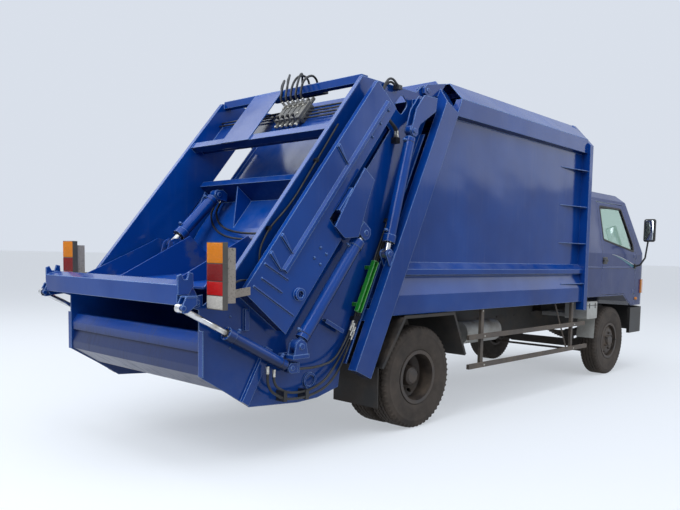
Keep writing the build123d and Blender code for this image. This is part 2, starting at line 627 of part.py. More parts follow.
def gate_column():
    """Box column outside the wall: outer plate with its folds, closing plates, ridge and ties."""
    face, wall = COLUMN_HALF, WALL_HALF
    edge, inner, wide, end = COLUMN_EDGE, COLUMN_INNER, COLUMN_LOW_INNER, COLUMN_END
    sheet = [(-20, edge), (end, edge), (end + 20, wide), (1120, wide), (1090, inner), (-20, inner)]
    column = gate_plate(sheet, face - WALL_THICK, face)
    column += gate_bar(-20, end, edge, edge + 8, face - 38, face - WALL_THICK)
    column += gate_bar(-20, end, edge + 110, edge + 118, wall, face - WALL_THICK)
    column += gate_bar(-20, 1090, inner - 8, inner, wall, face - WALL_THICK)
    # notch that the raise cylinder's hoses pass through
    column -= gate_bar(-21, 78, inner - 9, inner + 1, wall + 10, face - 30)
    column += gate_bar(1120, end, wide - 8, wide, wall, face - WALL_THICK)
    column += gate_bar(end - 8, end, edge, wide, wall, face - WALL_THICK)
    column += gate_section([(RIDGE_P - 26, face), (RIDGE_P - 12, face + 18), (RIDGE_P + 12, face + 18),
                            (RIDGE_P + 26, face)], 20, 1624)
    for s in COLUMN_FINS:
        column += gate_plate([(s, edge + 12), (s + 56, RIDGE_P - 22), (s + 26, edge + 12)], face, face + 16)
    for s0, p0, s1, p1 in COLUMN_TIES:
        a, b = gate(s0, p0), gate(s1, p1)
        column += bar((a[0], face + 4, a[1]), (b[0], face + 4, b[1]), 6)
    boss = gate(*BOSS)
    return column + along_y(Pos(*boss) * (Circle(42) - RegularPolygon(25, 6)), face, face + 24)


def wall_stiffeners():
    """What is welded to the outer face of the wall: flanges, channel, stiffeners and boss."""
    high = WALL_HALF
    parts = [gate_bar(0, 2017, 0, 8, high, high + 30),
             block(GATE_REAR_X, GATE_REAR_X + 8, high, high + 38, 640, 925),
             along_y(folded([(tail_mouth(2400, MOUTH_GAP), 2400), (tail_mouth(600, MOUTH_GAP), 600)], -10),
                     high, high + 48),
             along_y(folded([(-969, 939), (-790, 849)], 8), high, high + 45),
             along_y(folded([(-969, 939), (-790, 849)], -22), high + 39, high + 45),
             block(-1660, -1628, high, high + 22, 905, 1045),
             along_y(folded([(-1490, 790), (-1712, 390)], 60) & gate_wall_outline(), high, high + 26),
             ring((-1089, 510), 58, 40, high, high + 14)]
    return fused(parts)


def gate_side():
    low, high = WALL_HALF - WALL_THICK, WALL_HALF
    side = along_y(gate_wall_outline(), low, high)
    side -= gate_bar(SLOT_START, SLOT_END, COLUMN_INNER, PANEL_P, low - 1, high + 1)
    hand_hole = outline([(-240, 2584), (-144, 2690), (-66, 2622), (-150, 2517)])
    side -= along_y(fillet(hand_hole.vertices(), 36), low - 1, high + 1)
    side += gate_column() + wall_stiffeners()
    # slide cylinder's foot
    foot = gate(SLIDE_LOW_S, SLIDE_P)
    side += block(foot[0] - 70, foot[0] + 70, high, SLIDE_Y + 42, foot[1] - 83, foot[1] - 56)
    side += ears(kite(foot, (foot[0], foot[1] - 100), 48, 60, 60), SLIDE_Y, 54.6, 12, foot, 20)
    # lift cylinder's foot
    x, z = LIFT_RAM_LOW
    side += ears(kite(LIFT_RAM_LOW, (x + 100, z), 36, 52, 36), LIFT_RAM_Y, 46.6, 10, LIFT_RAM_LOW, 16, 6)
    side += block(x + 45, x + 60, high, LIFT_RAM_Y + 35, z - 36, z + 36)
    # beam pivot
    px, pz = LIFT_PIVOT
    pivot = [(px - 30, pz - 30), (px - 30, pz + 30), (px + 60, pz + 45), (px + 60, pz - 60)]
    side += along_y(outline(pivot), low, high)
    side += pin(LIFT_PIVOT, 18, high, BEAM_HALF + 10)
    # raise cylinder's ear box, open below and ahead where the barrel swings
    x, z = RAISE_TOP
    ear = [(x - 46, z), (x - 25, z + 42), (x + 20, z + 178), (x + 115, z + 295), (x + 280, z + 302),
           (x + 262, z + 190), (x + 66, z + 60), (x + 42, z + 18), (x + 42, z - 18), (x + 20, z - 41),
           (x - 20, z - 41)]
    side += ears(ear, RAISE_Y, 50.6, 10, RAISE_TOP, 20, 10)
    filler = outline([(x + 128, z + 130), (x + 128, z + 280), (x + 262, z + 280), (x + 252, z + 195)])
    for near, far in ((high, RAISE_Y - 30), (RAISE_Y - 28, RAISE_Y + 28)):
        side += along_y(filler, near, far)
    return side - pin(TAIL_HINGE, HINGE_PIN_R + RUNNING_FIT, low - 1, high + 1)


def gate_frame():
    """Both side walls with the tubes and sheets that join them."""
    reach = WALL_HALF - WALL_THICK
    bars = block(-600, -530, -reach, reach, 2690, 2750)
    bars += gate_bar(478, 538, 12, 72, -reach, reach)
    bars += gate_bar(90, 470, 130, 136, -reach, reach)
    bars += gate_bar(-20, 545, 2, 11, 40, 400)
    # foot sheet that ties the crossbar to the sheet behind it
    bars += gate_bar(462, 486, 66, 136, -reach, reach)
    return both(gate_side()) + bars


def trough_line():
    """Corners of the folded hopper floor, from the sill round under the blade to the mouth."""
    px, pz = BLADE_PIVOT
    turn = [radians(a) for a in (206, 220, 234, 248, 262)]
    line = [(-1945, 791), (-1977, 791), (-1977, 846), (-1938, 906)]
    line += [(px + TROUGH_R * cos(a), pz + TROUGH_R * sin(a)) for a in turn]
    top = FLOOR_TOP - 5 - TAIL_DZ
    return line + [(px + 30, pz - TROUGH_R), (tail_mouth(top, MOUTH_GAP + 12), top)]


def hopper_trough():
    low, high = -(WALL_HALF - WALL_THICK), WALL_HALF - WALL_THICK
    trough = along_y(folded(trough_line(), -8), low, high)
    # rear skirt below the sill
    skirt = folded([(-1950, 797), (-1979, 700), (-1979, 646), (-1788, 522)], 8)
    return trough + along_y(skirt, low, high)


def tail_lamps():
    near = WALL_HALF + 28
    return both(block(-1955, -1913, near, near + 163, 1061, 1463))


def lamp_boxes():
    near = WALL_HALF + 36
    box = block(-1913, -1855, near, near + 150, 1100, 1433)
    arm = outline([(-1857, 1120), (-1857, 1170), (-1695, 1192), (-1695, 1142)])
    return both(box + along_y(arm, COLUMN_HALF + 0.3, COLUMN_HALF + 10))


def slide_rams():
    return ram(gate(SLIDE_LOW_S, SLIDE_P), gate(SLIDE_HIGH_S, SLIDE_P), SLIDE_Y, 48, 26, 905, 46, 54, 20)


def safety_props():
    """Folded channels that hold the tailgate up for work, stowed on their brackets."""
    near, far = WALL_HALF + 50, WALL_HALF + 90
    high, low = 1372, 996
    channel = along_y(folded([(tail_mouth(high, 118), high), (tail_mouth(low, 118), low)], 44), near, far)
    high, low = high - 6, low - 6
    hollow = folded([(tail_mouth(high, 113), high), (tail_mouth(low, 113), low)], 34)
    channel -= along_y(hollow, near + 6, far + 1)
    for z in (1040, 1315):
        channel += block(tail_mouth(z, 114), tail_mouth(z, 94), WALL_HALF + 0.3, near + 3, z - 15, z + 15)
    return both(channel)


VALVE_S = (110, 280)
VALVE_Y = (-330, -30)
SPOOLS = 5


def valve_block():
    """Stacked control valve on the sheet between the top tubes: bodies, spool ends and hand levers."""
    pitch = (VALVE_Y[1] - VALVE_Y[0]) / SPOOLS
    body = gate_bar(VALVE_S[0], VALVE_S[1], 84, 129.7, VALVE_Y[0], VALVE_Y[1])
    for i in range(SPOOLS):
        y = VALVE_Y[0] + pitch * (i + 0.5)
        body += gate_bar(VALVE_S[0] - 8, VALVE_S[1] + 8, 60, 120, y - pitch * 0.4, y + pitch * 0.4)
        for s0, s1, p in ((VALVE_S[0] - 60, VALVE_S[0], 92), (VALVE_S[1], VALVE_S[1] + 45, 92)):
            a, b = gate(s0, p), gate(s1, p)
            body += bar((a[0], y, a[1]), (b[0], y, b[1]), 15)
        a, b = gate(VALVE_S[1] + 30, 92), gate(VALVE_S[1] + 20, 20)
        body += bar((a[0], y, a[1]), (b[0], y, b[1]), 6)
    return body


def bends(points):
    """Radius of each bend of a line: as large as its two runs allow."""
    radii = []
    for a, b, c in zip(points, points[1:], points[2:]):
        before, after = Vector(*b) - Vector(*a), Vector(*c) - Vector(*b)
        radii.append(0.45 * min(before.length, after.length) / tan(radians(before.get_angle(after) / 2)))
    return radii


def tube(points, radius):
    """Pipe or hose along corners in space."""
    path = FilletPolyline(*points, radius=bends(points))
    return sweep(Plane(origin=path @ 0, z_dir=path % 0) * Circle(radius), path)


PIPE_Y = WALL_HALF + 30
SIDE_LINES = [  # distance behind the mouth, lowest height of the pipe, corners after it as (x, y, z)
    (52, 760, [(-890, PIPE_Y + 20, 590), (-1010, LIFT_RAM_Y, 500), (-1170, LIFT_RAM_Y, 452),
               (-1345, LIFT_RAM_Y, 462), (-1462, LIFT_RAM_Y, 530), (-1462, LIFT_RAM_Y, 638)]),
    (30, 730, [(-842, PIPE_Y + 20, 560), (-990, LIFT_RAM_Y, 454), (-1175, LIFT_RAM_Y, 412),
               (-1370, LIFT_RAM_Y, 420), (-1515, LIFT_RAM_Y, 510), (-1515, LIFT_RAM_Y, 664)]),
    (74, 800, [(-900, PIPE_Y + 30, 640), (-1080, LIFT_RAM_Y, 612), (-1269, LIFT_RAM_Y, 620)])]
PIPE_TOP = 1850
PIPE_CLIPS = (1700, 1180, 950)


def side_lines():
    """Steel pipes down the mouth's edge, and the hoses clipped from them to the lift cylinder."""
    parts = []
    for gap, low, corners in SIDE_LINES:
        start = [(tail_mouth(PIPE_TOP, gap), PIPE_Y, PIPE_TOP), (tail_mouth(low, gap), PIPE_Y, low)]
        parts.append(tube(start + corners, LINE_R))
    for z in PIPE_CLIPS:
        saddle = [(tail_mouth(z, 20), z), (tail_mouth(z, 86), z), (tail_mouth(z - 30, 86), z - 30),
                  (tail_mouth(z - 30, 20), z - 30)]
        parts.append(along_y(outline(saddle), WALL_HALF, PIPE_Y + 12))
    parts.append(block(-1190, -1160, WALL_HALF, LIFT_RAM_Y + 12, 398, 466))
    parts.append(block(-1385, -1355, WALL_HALF, LIFT_RAM_Y + 12, 408, 482))
    return fused(parts)


def column_conduit():
    """Lamp cable's conduit down the column's channel to the lamp box."""
    route = [(460, 50, 25), (830, 66, 25), (1180, 80, 25), (1450, 40, 25), (1600, 66, 25), (1690, 138, 25),
             (1790, 150, 30), (1862, 48, 60)]
    points = [(gate(s, p)[0], WALL_HALF + out, gate(s, p)[1]) for s, p, out in route]
    parts = [tube(points + [(-1800, WALL_HALF + 90, 1215), (-1854.7, WALL_HALF + 90, 1215)], 7)]
    for s, p in ((800, 65), (1440, 42)):
        parts.append(gate_bar(s - 12, s + 12, p - 12, p + 12, WALL_HALF, WALL_HALF + 34))
    return fused(parts)


def raise_hoses():
    """Pair of hoses from the wall's top edge round to the port of the raise cylinder."""
    parts = []
    for out, shift in ((22, 0), (44, 26)):
        y = WALL_HALF + out
        route = [(-228, 2716), (-300 - shift, 2756 + shift), (-380 - shift, 2700), (-402 - shift, 2590),
                 (-340 - shift, 2470), (-240, 2395), (-240, 2325)]
        parts.append(tube([(x, y, z) for x, z in route], LINE_R))
    parts.append(block(-250, -206, WALL_HALF, WALL_HALF + 56, 2700, 2733))
    parts.append(block(-262, -218, WALL_HALF, WALL_HALF + 54, 2286, 2331))
    return fused(parts)


TOP_HOSES = [  # y at the valve, y at the manifold, height of the arch
    (-300, -250, 2830),
    (-240, -60, 2862),
    (-180, -150, 2846),
    (-120, 130, 2872),
    (-60, 210, 2836)]


def hydraulic_lines():
    lines = both(side_lines() + column_conduit() + raise_hoses())
    # hoses that arch over the top tube from the valve to a manifold ahead of it
    lines += block(-529.7, -450, -340, 300, 2696, 2740)
    for y0, y1, height in TOP_HOSES:
        (x0, z0), (x1, z1) = gate(VALVE_S[0] + 20, 59.7), gate(VALVE_S[0] + 20, -15)
        across = y1 - y0
        lines += tube([(x0, y0, z0), (x1, y0, z1), (-690, y0, 2745), (-636, y0 + across * 0.15, height - 30),
                       (-560, y0 + across * 0.5, height), (-498, y1 - across * 0.1, height - 20),
                       (-480, y1, height - 75), (-488, y1, 2739)], LINE_R)
    # cross pipes from the valve's ends to the walls
    reach = WALL_HALF - WALL_THICK
    for i in range(4):
        x, z = gate(VALVE_S[0] + 30 + 38 * i, 104)
        lines += bar((x, VALVE_Y[0] - 0.3, z), (x, -reach + 0.3, z), 7)
        if i < 2:
            lines += bar((x, VALVE_Y[1] + 0.3, z), (x, reach - 0.3, z), 7)
    return lines


# Packer
def carrier():
    half = CARRIER_HALF
    front = [gate(s, p) for s, p in ((40, PANEL_P), (1050, PANEL_P), (1325, PANEL_P + 35))]
    panel = along_y(folded(front, PANEL_THICK), -half + 30, half - 30)
    panel += gate_bar(SHELF_S, SHELF_S + 8, SHELF_P, PANEL_P, -half, half)
    panel += gate_bar(SHELF_S - 50, SHELF_S + 8, SHELF_P, SHELF_P + 8, -half, half)
    flange = gate_bar(40, SHELF_S, PANEL_P - 30, PANEL_P + PANEL_THICK, half - 38, half - 30)
    cheek = gate_plate([(SHELF_S, SHELF_P + 60), (SHELF_S, PANEL_P), (1330, PANEL_P + 70),
                        (1450, PANEL_P + 100), (1450, 500), (1200, 440)], half - 12, half)
    cheek += pin(BLADE_PIVOT, 55, half - 12, half)
    shoe = gate_bar(790, 1000, COLUMN_INNER + 8, PANEL_P - 8, half - 12, COLUMN_HALF + 32)
    arm = gate_plate([(600, 356), (600, 484), (774, 533), (1028, 620), (1124, 519), (1122, 396), (882, 370)],
                     COLUMN_HALF + 32, COLUMN_HALF + 44)
    eye = gate(SLIDE_HIGH_S, SLIDE_P)
    bracket = end_ears([gate(s, p) for s, p in ((900, 600), (1000, 600), (1000, 690), (970, 712), (930, 712),
                                                (900, 690))], SLIDE_Y, 54.6, 10, eye, 20, 5)
    bracket += gate_bar(900, 1000, 560, 606, SLIDE_Y - 39, COLUMN_HALF + 32)
    shape = panel
    for part in (flange, cheek, shoe, arm, bracket):
        shape += both(part)
    gusset = [(SHELF_S + 8, SHELF_P + 30), (SHELF_S + 8, PANEL_P), (1040, PANEL_P)]
    for y in (-330, 330):
        shape += gate_plate(gusset, y - 5, y + 5)
    # shaft that the blade swings on, and ears for the blade cylinders under the shelf
    shape += pin(BLADE_PIVOT, 24, -half, half)
    ear = kite(BLADE_RAM_TOP, gate(SHELF_S, 420), 40, 80, 50)
    for y in (-BLADE_RAM_Y, BLADE_RAM_Y):
        shape += ears(ear, y, 56.6, 12, BLADE_RAM_TOP, 18, 6)
    # manifold that the supply hoses end on
    block_outline = [(1100, 425), (1100, 495), (1240, 513), (1240, 425)]
    shape += gate_plate(block_outline, HOSE_END_Y - 80, HOSE_END_Y)
    return shape


HOSE_END_Y = -170
HOSE_P = 445
HOSES = [  # name, corners as (s, y) from under the shelf to the manifold's side
    ("supply_hose_upper", [(SHELF_S + 8.3, 690), (850, 690), (955, 600), (1046, 465), (1106, 290),
                           (1132, 115), (1140, -35), (1140, HOSE_END_Y + 0.3)]),
    ("supply_hose_lower", [(SHELF_S + 8.3, 750), (868, 750), (985, 648), (1085, 510), (1156, 338),
                           (1190, 155), (1200, -10), (1200, HOSE_END_Y + 0.3)])]


def supply_hose(route):
    """Free hose to the blade cylinders that hangs in a loop from the carrier's shelf."""
    points = [(gate(s, HOSE_P)[0], y, gate(s, HOSE_P)[1]) for s, y in route]
    path = FilletPolyline(*points, radius=bends(points))
    print("hose length", round(path.length), "bend radii", [round(r) for r in bends(points)])
    return tube(points, LINE_R)


def blade():
    """Sweep blade: curved plate behind ribs that run back to the hub, with the cylinders' ears."""
    px, pz = BLADE_PIVOT
    lean = radians(180 + BLADE_OPEN)
    tip = (px + BLADE_R * cos(lean), pz + BLADE_R * sin(lean))
    half = BLADE_HALF - 14
    ear_x, ear_z = BLADE_RAM_LOW
    sheet = [(px + 45, pz - 40), (px, pz - 62), tip, (tip[0] + 8, tip[1] + 12), (px, pz - 50),
             (px + 38, pz - 30)]
    shape = along_y(outline(sheet), -half, half)
    # wear strip along the tip
    shape += along_y(outline([tip, step(tip, (px, pz - 62), 70), step(tip, (px, pz - 62), 70, 8),
                              step(tip, (px, pz - 62), 0, 14)]), -half, half)
    rib = [(px + 45, pz - 40), (px + 52, pz + 20), (px, pz + 60), (ear_x + 60, ear_z + 40),
           (ear_x, ear_z + 48), (ear_x - 45, ear_z + 20), (tip[0] + 20, tip[1] + 30), tip, (px, pz - 62)]
    low_rib = [(px + 45, pz - 40), (px + 52, pz + 20), (px, pz + 60), (ear_x + 120, ear_z - 20),
               (ear_x + 25, ear_z + 67), (tip[0] + 108, tip[1] + 52), tip, (px, pz - 62)]
    ear = [(px + 20, pz - 20), (px, pz + 60), (ear_x + 60, ear_z + 40), (ear_x, ear_z + 48),
           (ear_x - 45, ear_z + 20), (ear_x - 90, ear_z - 150), (ear_x - 60, pz - 92)]
    for y in (-half + 6, -370, 370, half - 6):
        shape += along_y(outline(rib if abs(y) > 400 else low_rib), y - 6, y + 6)
    for y in (-BLADE_RAM_Y - 42, -BLADE_RAM_Y + 42, BLADE_RAM_Y - 42, BLADE_RAM_Y + 42):
        shape += along_y(outline(ear), y - 6, y + 6)
    shape += pin(BLADE_PIVOT, 50, -half, half)
    shape -= pin(BLADE_PIVOT, 24 + RUNNING_FIT, -half - 1, half + 1)
    for y in (-BLADE_RAM_Y, BLADE_RAM_Y):
        for side in (-1, 1):
            edge = y + side * 36
            shape += pin(BLADE_RAM_LOW, 18, min(edge, edge + side * 24), max(edge, edge + side * 24))
    return shape


def blade_rams():
    return ram(BLADE_RAM_TOP, BLADE_RAM_LOW, BLADE_RAM_Y, 50, 28, 500, 42, 56, 18)


# Bin lift at the hopper's sill
def lift_beam():
    px, pz = LIFT_PIVOT
    channel = folded([(-2151, 1088), (-2151, 1208), (-2069, 1234), (-2069, 1170)], -8)
    beam = along_y(channel, -BEAM_HALF, BEAM_HALF)
    plate = [(-2151, 1208), (-2062, 1228), (-1994, 1108), (px + 26, pz - 26), (px - 10, pz - 36),
             (LIFT_RAM_TOP[0] + 30, LIFT_RAM_TOP[1] - 20), (-2151, 1088)]
    plate = along_y(outline(plate), BEAM_HALF - 14, BEAM_HALF - 2)
    x, z = LIFT_RAM_TOP
    ear = [(x + 90, z + 70), (x + 90, z + 20), (x + 30, z - 28), (x - 1, z - 30), (x - 1, z + 26),
           (x + 20, z + 70)]
    clevis = end_ears(ear, LIFT_RAM_Y, 46.6, 9, LIFT_RAM_TOP, 16, 4)
    clevis += block(x + 24, x + 90, BEAM_HALF - 2, LIFT_RAM_Y + 34, z + 62, z + 72)
    # hook plate that a bin's pin drops into
    hook = [(-2151, 1150), (-2151, 1262), (-2128, 1272), (-2112, 1240), (-2088, 1240), (-2076, 1282),
            (-2050, 1276), (-2046, 1200), (-2080, 1150)]
    clevis += along_y(outline(hook), BEAM_HALF - 2, BEAM_HALF + 12)
    beam += both(plate + clevis)
    return beam - both(pin(LIFT_PIVOT, 18 + RUNNING_FIT, BEAM_HALF - 15, BEAM_HALF))


def lift_rams():
    return ram(LIFT_RAM_LOW, LIFT_RAM_TOP, LIFT_RAM_Y, 38, 19, 565, LIFT_EYE_R, 46, 16, LIFT_STROKE)


def raise_rams():
    return ram(RAISE_TOP, RAISE_LOW, RAISE_Y, 45, 24, 898, 46, 50, 20)


# Ejector panel inside the container
def ejector():
    lean = tan(radians(MOUTH_LEAN))
    top = ROOF_Z - 90
    foot_x = FRONT_FRAME_X - 106 - (top - FLOOR_TOP) * lean

    def back(z, out=0):
        """Place on the panel's face at a height, or a distance ahead of it."""
        return (foot_x + (z - FLOOR_TOP) * lean + out, z)

    half, low = WALL_INNER - 12, FLOOR_TOP + 7
    sheet = along_y(outline([back(low), back(top), back(top, 60), back(low, 60)]), -half, half)
    corner = [(half + 20, RAIL_TOP_HIGH - 100), (half + 20, ROOF_Z + 80), (ROOF_FLAT_HALF - 100, ROOF_Z + 80)]
    sheet -= both(along_x(outline(corner), foot_x - 400, FRONT_FRAME_X + 300))
    shoe_x = back(low)[0]
    shoe = block(shoe_x + 10, shoe_x + 560, half - 120, half - 60, FLOOR_TOP + 0.3, FLOOR_TOP + 40)
    brace = along_y(outline([(shoe_x + 50, low + 18), (shoe_x + 560, low + 18), (shoe_x + 560, low + 48),
                             back(low + 788, 58), back(low + 748, 55)]), half - 100, half - 80)
    return sheet + both(shoe + brace)


# Cab: one closed body, hollowed, then split where its panels meet
CAB_SIDE = [(CAB_REAR, CAB_FLOOR_Z), (CAB_REAR, CAB_ROOF_Z - 95), (CAB_REAR + 80, CAB_ROOF_Z),
            (270, CAB_ROOF_Z), (440, CAB_ROOF_Z - 85), (850, 1450), (950, 1290), (CAB_FRONT, CAB_SILL_Z),
            (480, CAB_SILL_Z), (365, 900), (230, CAB_FLOOR_Z)]
CAB_EAVES = CAB_ROOF_Z - 75
CAB_FRONT_VIEW = [(-CAB_HALF, 700), (-CAB_HALF, CAB_BELT_Z), (-CAB_ROOF_HALF, CAB_EAVES),
                  (-CAB_ROOF_HALF + 65, CAB_ROOF_Z), (CAB_ROOF_HALF - 65, CAB_ROOF_Z),
                  (CAB_ROOF_HALF, CAB_EAVES), (CAB_HALF, CAB_BELT_Z), (CAB_HALF, 700)]
DOOR_OUTLINE = [(DOOR_REAR, 1005), (DOOR_REAR, 2110), (320, 2110), (DOOR_FRONT, 1640), (DOOR_FRONT, 860),
                (490, 860), (375, 915), (245, 1005)]
HINGE_OUT = 3
DOOR_WINDOW = [(DOOR_REAR + 70, 1665), (DOOR_REAR + 70, 2060), (275, 2060), (520, 1620), (520, 1540)]


def cab_body(shrink):
    """Outer form of the cab, or the form a distance inside it."""
    solid = along_y(outline(inset(CAB_SIDE, shrink)), -CAB_HALF - 115, CAB_HALF + 115)
    solid = solid & along_x(outline(inset(CAB_FRONT_VIEW, shrink)), CAB_REAR - 30, CAB_FRONT + 140)
    half = CAB_HALF - shrink
    plan = outline([(CAB_REAR + shrink, -half), (CAB_FRONT - shrink, -half), (CAB_FRONT - shrink, half),
                    (CAB_REAR + shrink, half)])
    corners = plan.vertices().sort_by(Axis.X)[-2:]
    return solid & along_z(fillet(corners, CAB_CORNER_R - shrink), 600, 2300)


def cab_nodes():
    """Shell, roof, front, fixed panes, left door and its pane."""
    rear, front, split = CAB_REAR - 30, CAB_FRONT + 140, DOOR_FRONT + 20
    shell = cab_body(0) - cab_body(CAB_WALL)
    pane = cab_body(GLASS_INSET) - cab_body(GLASS_INSET + GLASS_THICK)
    windscreen = along_x(outline([(-850, 1500), (850, 1500), (790, 2110), (-790, 2110)]), 350, front)
    rear_light = outline([(-600, 1600), (600, 1600), (560, 2040), (-560, 2040)])
    rear_light = along_x(rear_light, rear, CAB_REAR + 70)
    # the doors are the side skins alone, and the floor stops short of them
    within = along_x(outline(inset(CAB_FRONT_VIEW, CAB_WALL)), rear, front)
    clear = along_x(outline(inset(CAB_FRONT_VIEW, CAB_WALL + DOOR_GAP)), rear, front)
    side, beyond = CAB_HALF - 285, CAB_HALF + 115
    opening = along_y(outline(inset(DOOR_OUTLINE, -DOOR_GAP)), -beyond, beyond) - clear
    window = along_y(outline(DOOR_WINDOW), side, beyond)
    skin = (shell & along_y(outline(DOOR_OUTLINE), side, beyond)) - within
    handle = block(-402, -296, CAB_HALF - 1, CAB_HALF + 16, 1400, 1428)
    # two strap hinges, their barrels on the door's swing axis
    for z in (1020, 1480):
        handle += block(DOOR_FRONT - 70, DOOR_FRONT + 1, CAB_HALF - 1, CAB_HALF + 5, z - 22, z + 22)
        handle += Pos(DOOR_FRONT + HINGE_OUT, CAB_HALF + HINGE_OUT, z) * Cylinder(4.4, 60)
    glass = pane & window
    shell = shell - opening - windscreen - rear_light
    roof = shell & block(rear, front, -beyond, beyond, 2125, 2300)
    nose = shell & block(split, front, -beyond, beyond, 700, 2125)
    body = shell & block(rear, split, -beyond, beyond, 700, 2125)
    # cranked tilt arms, so that they swing over the bumper
    arm = [(-10, -14), (12, -12), (14, 10), (-74, 101), (-74, 152), (-150, 152), (-150, 130), (-110, 86)]
    arm = along_y(outline([(TILT_X + x, TILT_Z + z) for x, z in arm]), 264, 286)
    nose += both(arm + pin((TILT_X, TILT_Z), 18, 264, 286) + pin((TILT_X, TILT_Z), 15, 286, 312))
    panes = (pane & windscreen) + (pane & rear_light)
    return body, roof, nose, panes, skin - window + handle, glass


def nose_zone(half, low, high):
    """What lies ahead of the cab's front panel between two heights."""
    return block(700, CAB_FRONT + 60, -half, half, low, high)


def grille():
    """Slatted grille that stands on the front panel between the lamps."""
    proud = cab_body(-16) - cab_body(-0.3)
    frame = proud & nose_zone(500, 925, 1095)
    for i in range(4):
        frame -= block(700, CAB_FRONT + 60, -480, 480, 944 + 36 * i, 964 + 36 * i)
    ribs = fused([block(700, CAB_FRONT + 60, y - 6, y + 6, 930, 1090) for y in (-240, 0, 240)])
    return frame + (proud & ribs)


def front_lamps():
    """Headlamp lenses beside the grille and the corner lamps round the cab's corners."""
    lens = cab_body(-18) - cab_body(-0.3)
    head = lens & block(700, CAB_FRONT + 60, 520, 715, 930, 1090)
    corner = lens & block(760, CAB_FRONT + 60, 722, CAB_HALF + 115, 1000, 1180)
    return both(head + corner)


SEATS = [  # centre y, width
    (500, 480),
    (-430, 780)]


def cabin_trim():
    """Dashboard, steering wheel with its column, pedestal and the seats' boxes."""
    inside = cab_body(CAB_WALL + 0.3)
    dash = outline([(450, 1150), (480, 1430), (630, 1460), (950, 1440), (950, 1150)])
    dash = along_y(dash, -980, 980) & inside
    hub, tilt = (320, 450, 1420), Rot(0, -35, 0)
    wheel = Pos(*hub) * tilt * (Torus(205, 16) + Cylinder(35, 24))
    for turn in (0, 120, 240):
        wheel += Pos(*hub) * tilt * Rot(0, 0, turn) * block(0, 200, -12, 12, -7, 7)
    column = bar((316, 450, 1425), (490, 450, 1200), 26)
    floor = CAB_FLOOR_Z + CAB_WALL + 0.3
    pedestal = block(450, 550, -120, 120, floor, 1160) & inside
    boxes = [block(-560, 30, y - width / 2 + 20, y + width / 2 - 20, floor, 1240) for y, width in SEATS]
    return dash + wheel + column + pedestal + fused(boxes)


def seat_pads():
    pads = []
    for y, width in SEATS:
        near, far = y - width / 2, y + width / 2
        back = outline([(-570, 1240.3), (-440, 1240.3), (-550, 1960), (-660, 1960)])
        pads.append(fillet(block(-438, 70, near, far, 1240.3, 1370).edges(), 30))
        pads.append(fillet(along_y(back, near, far).edges(), 25))
    return fused(pads)


def front_bumper():
    face = CAB_FRONT + 40
    plan = outline([(480, -CAB_HALF), (face, -CAB_HALF), (face, CAB_HALF), (480, CAB_HALF)])
    plan = fillet(plan.vertices().sort_by(Axis.X)[-2:], CAB_CORNER_R + 10)
    half = CAB_HALF - BUMPER_THICK
    inner = outline([(450, -half), (face - BUMPER_THICK, -half), (face - BUMPER_THICK, half), (450, half)])
    inner = fillet(inner.vertices().sort_by(Axis.X)[-2:], CAB_CORNER_R - 30)
    bumper = along_z(plan - inner, BUMPER_LOW, BUMPER_TOP)
    for low, high in ((560, 600), (625, 665)):
        bumper -= block(face - 100, face + 1, -330, 330, low, high)
    return bumper


def mirror_head(side):
    """Side mirror on its tube arm, fixed to the door's front edge."""
    x = DOOR_FRONT - 30
    head = fillet((Pos(x, side * (CAB_HALF + 178), 1810) * Box(66, 150, 290)).edges(), 28)
    route = [(x, side * (CAB_HALF + out), z) for out, z in ((10, 1350), (75, 1370), (135, 1460), (165, 1690))]
    arm = Pos(x, side * (CAB_HALF + 8), 1350) * Box(50, 15.4, 60) + bar(route[0], route[1], 11)
    for a, b in zip(route[1:], route[2:]):
        arm += Pos(*a) * Sphere(11) + bar(a, b, 11)
    return head + arm


def write(name, shape, dx=0, dz=0):
    export_step(Pos(REAR_AXLE_X + dx, 0, dz) * shape, f"parts/{name}.step")


def write_tail(name, shape):
    write(name, shape, TAIL_DX, TAIL_DZ)


def write_cab(name, shape):
    write(name, shape, WHEELBASE)


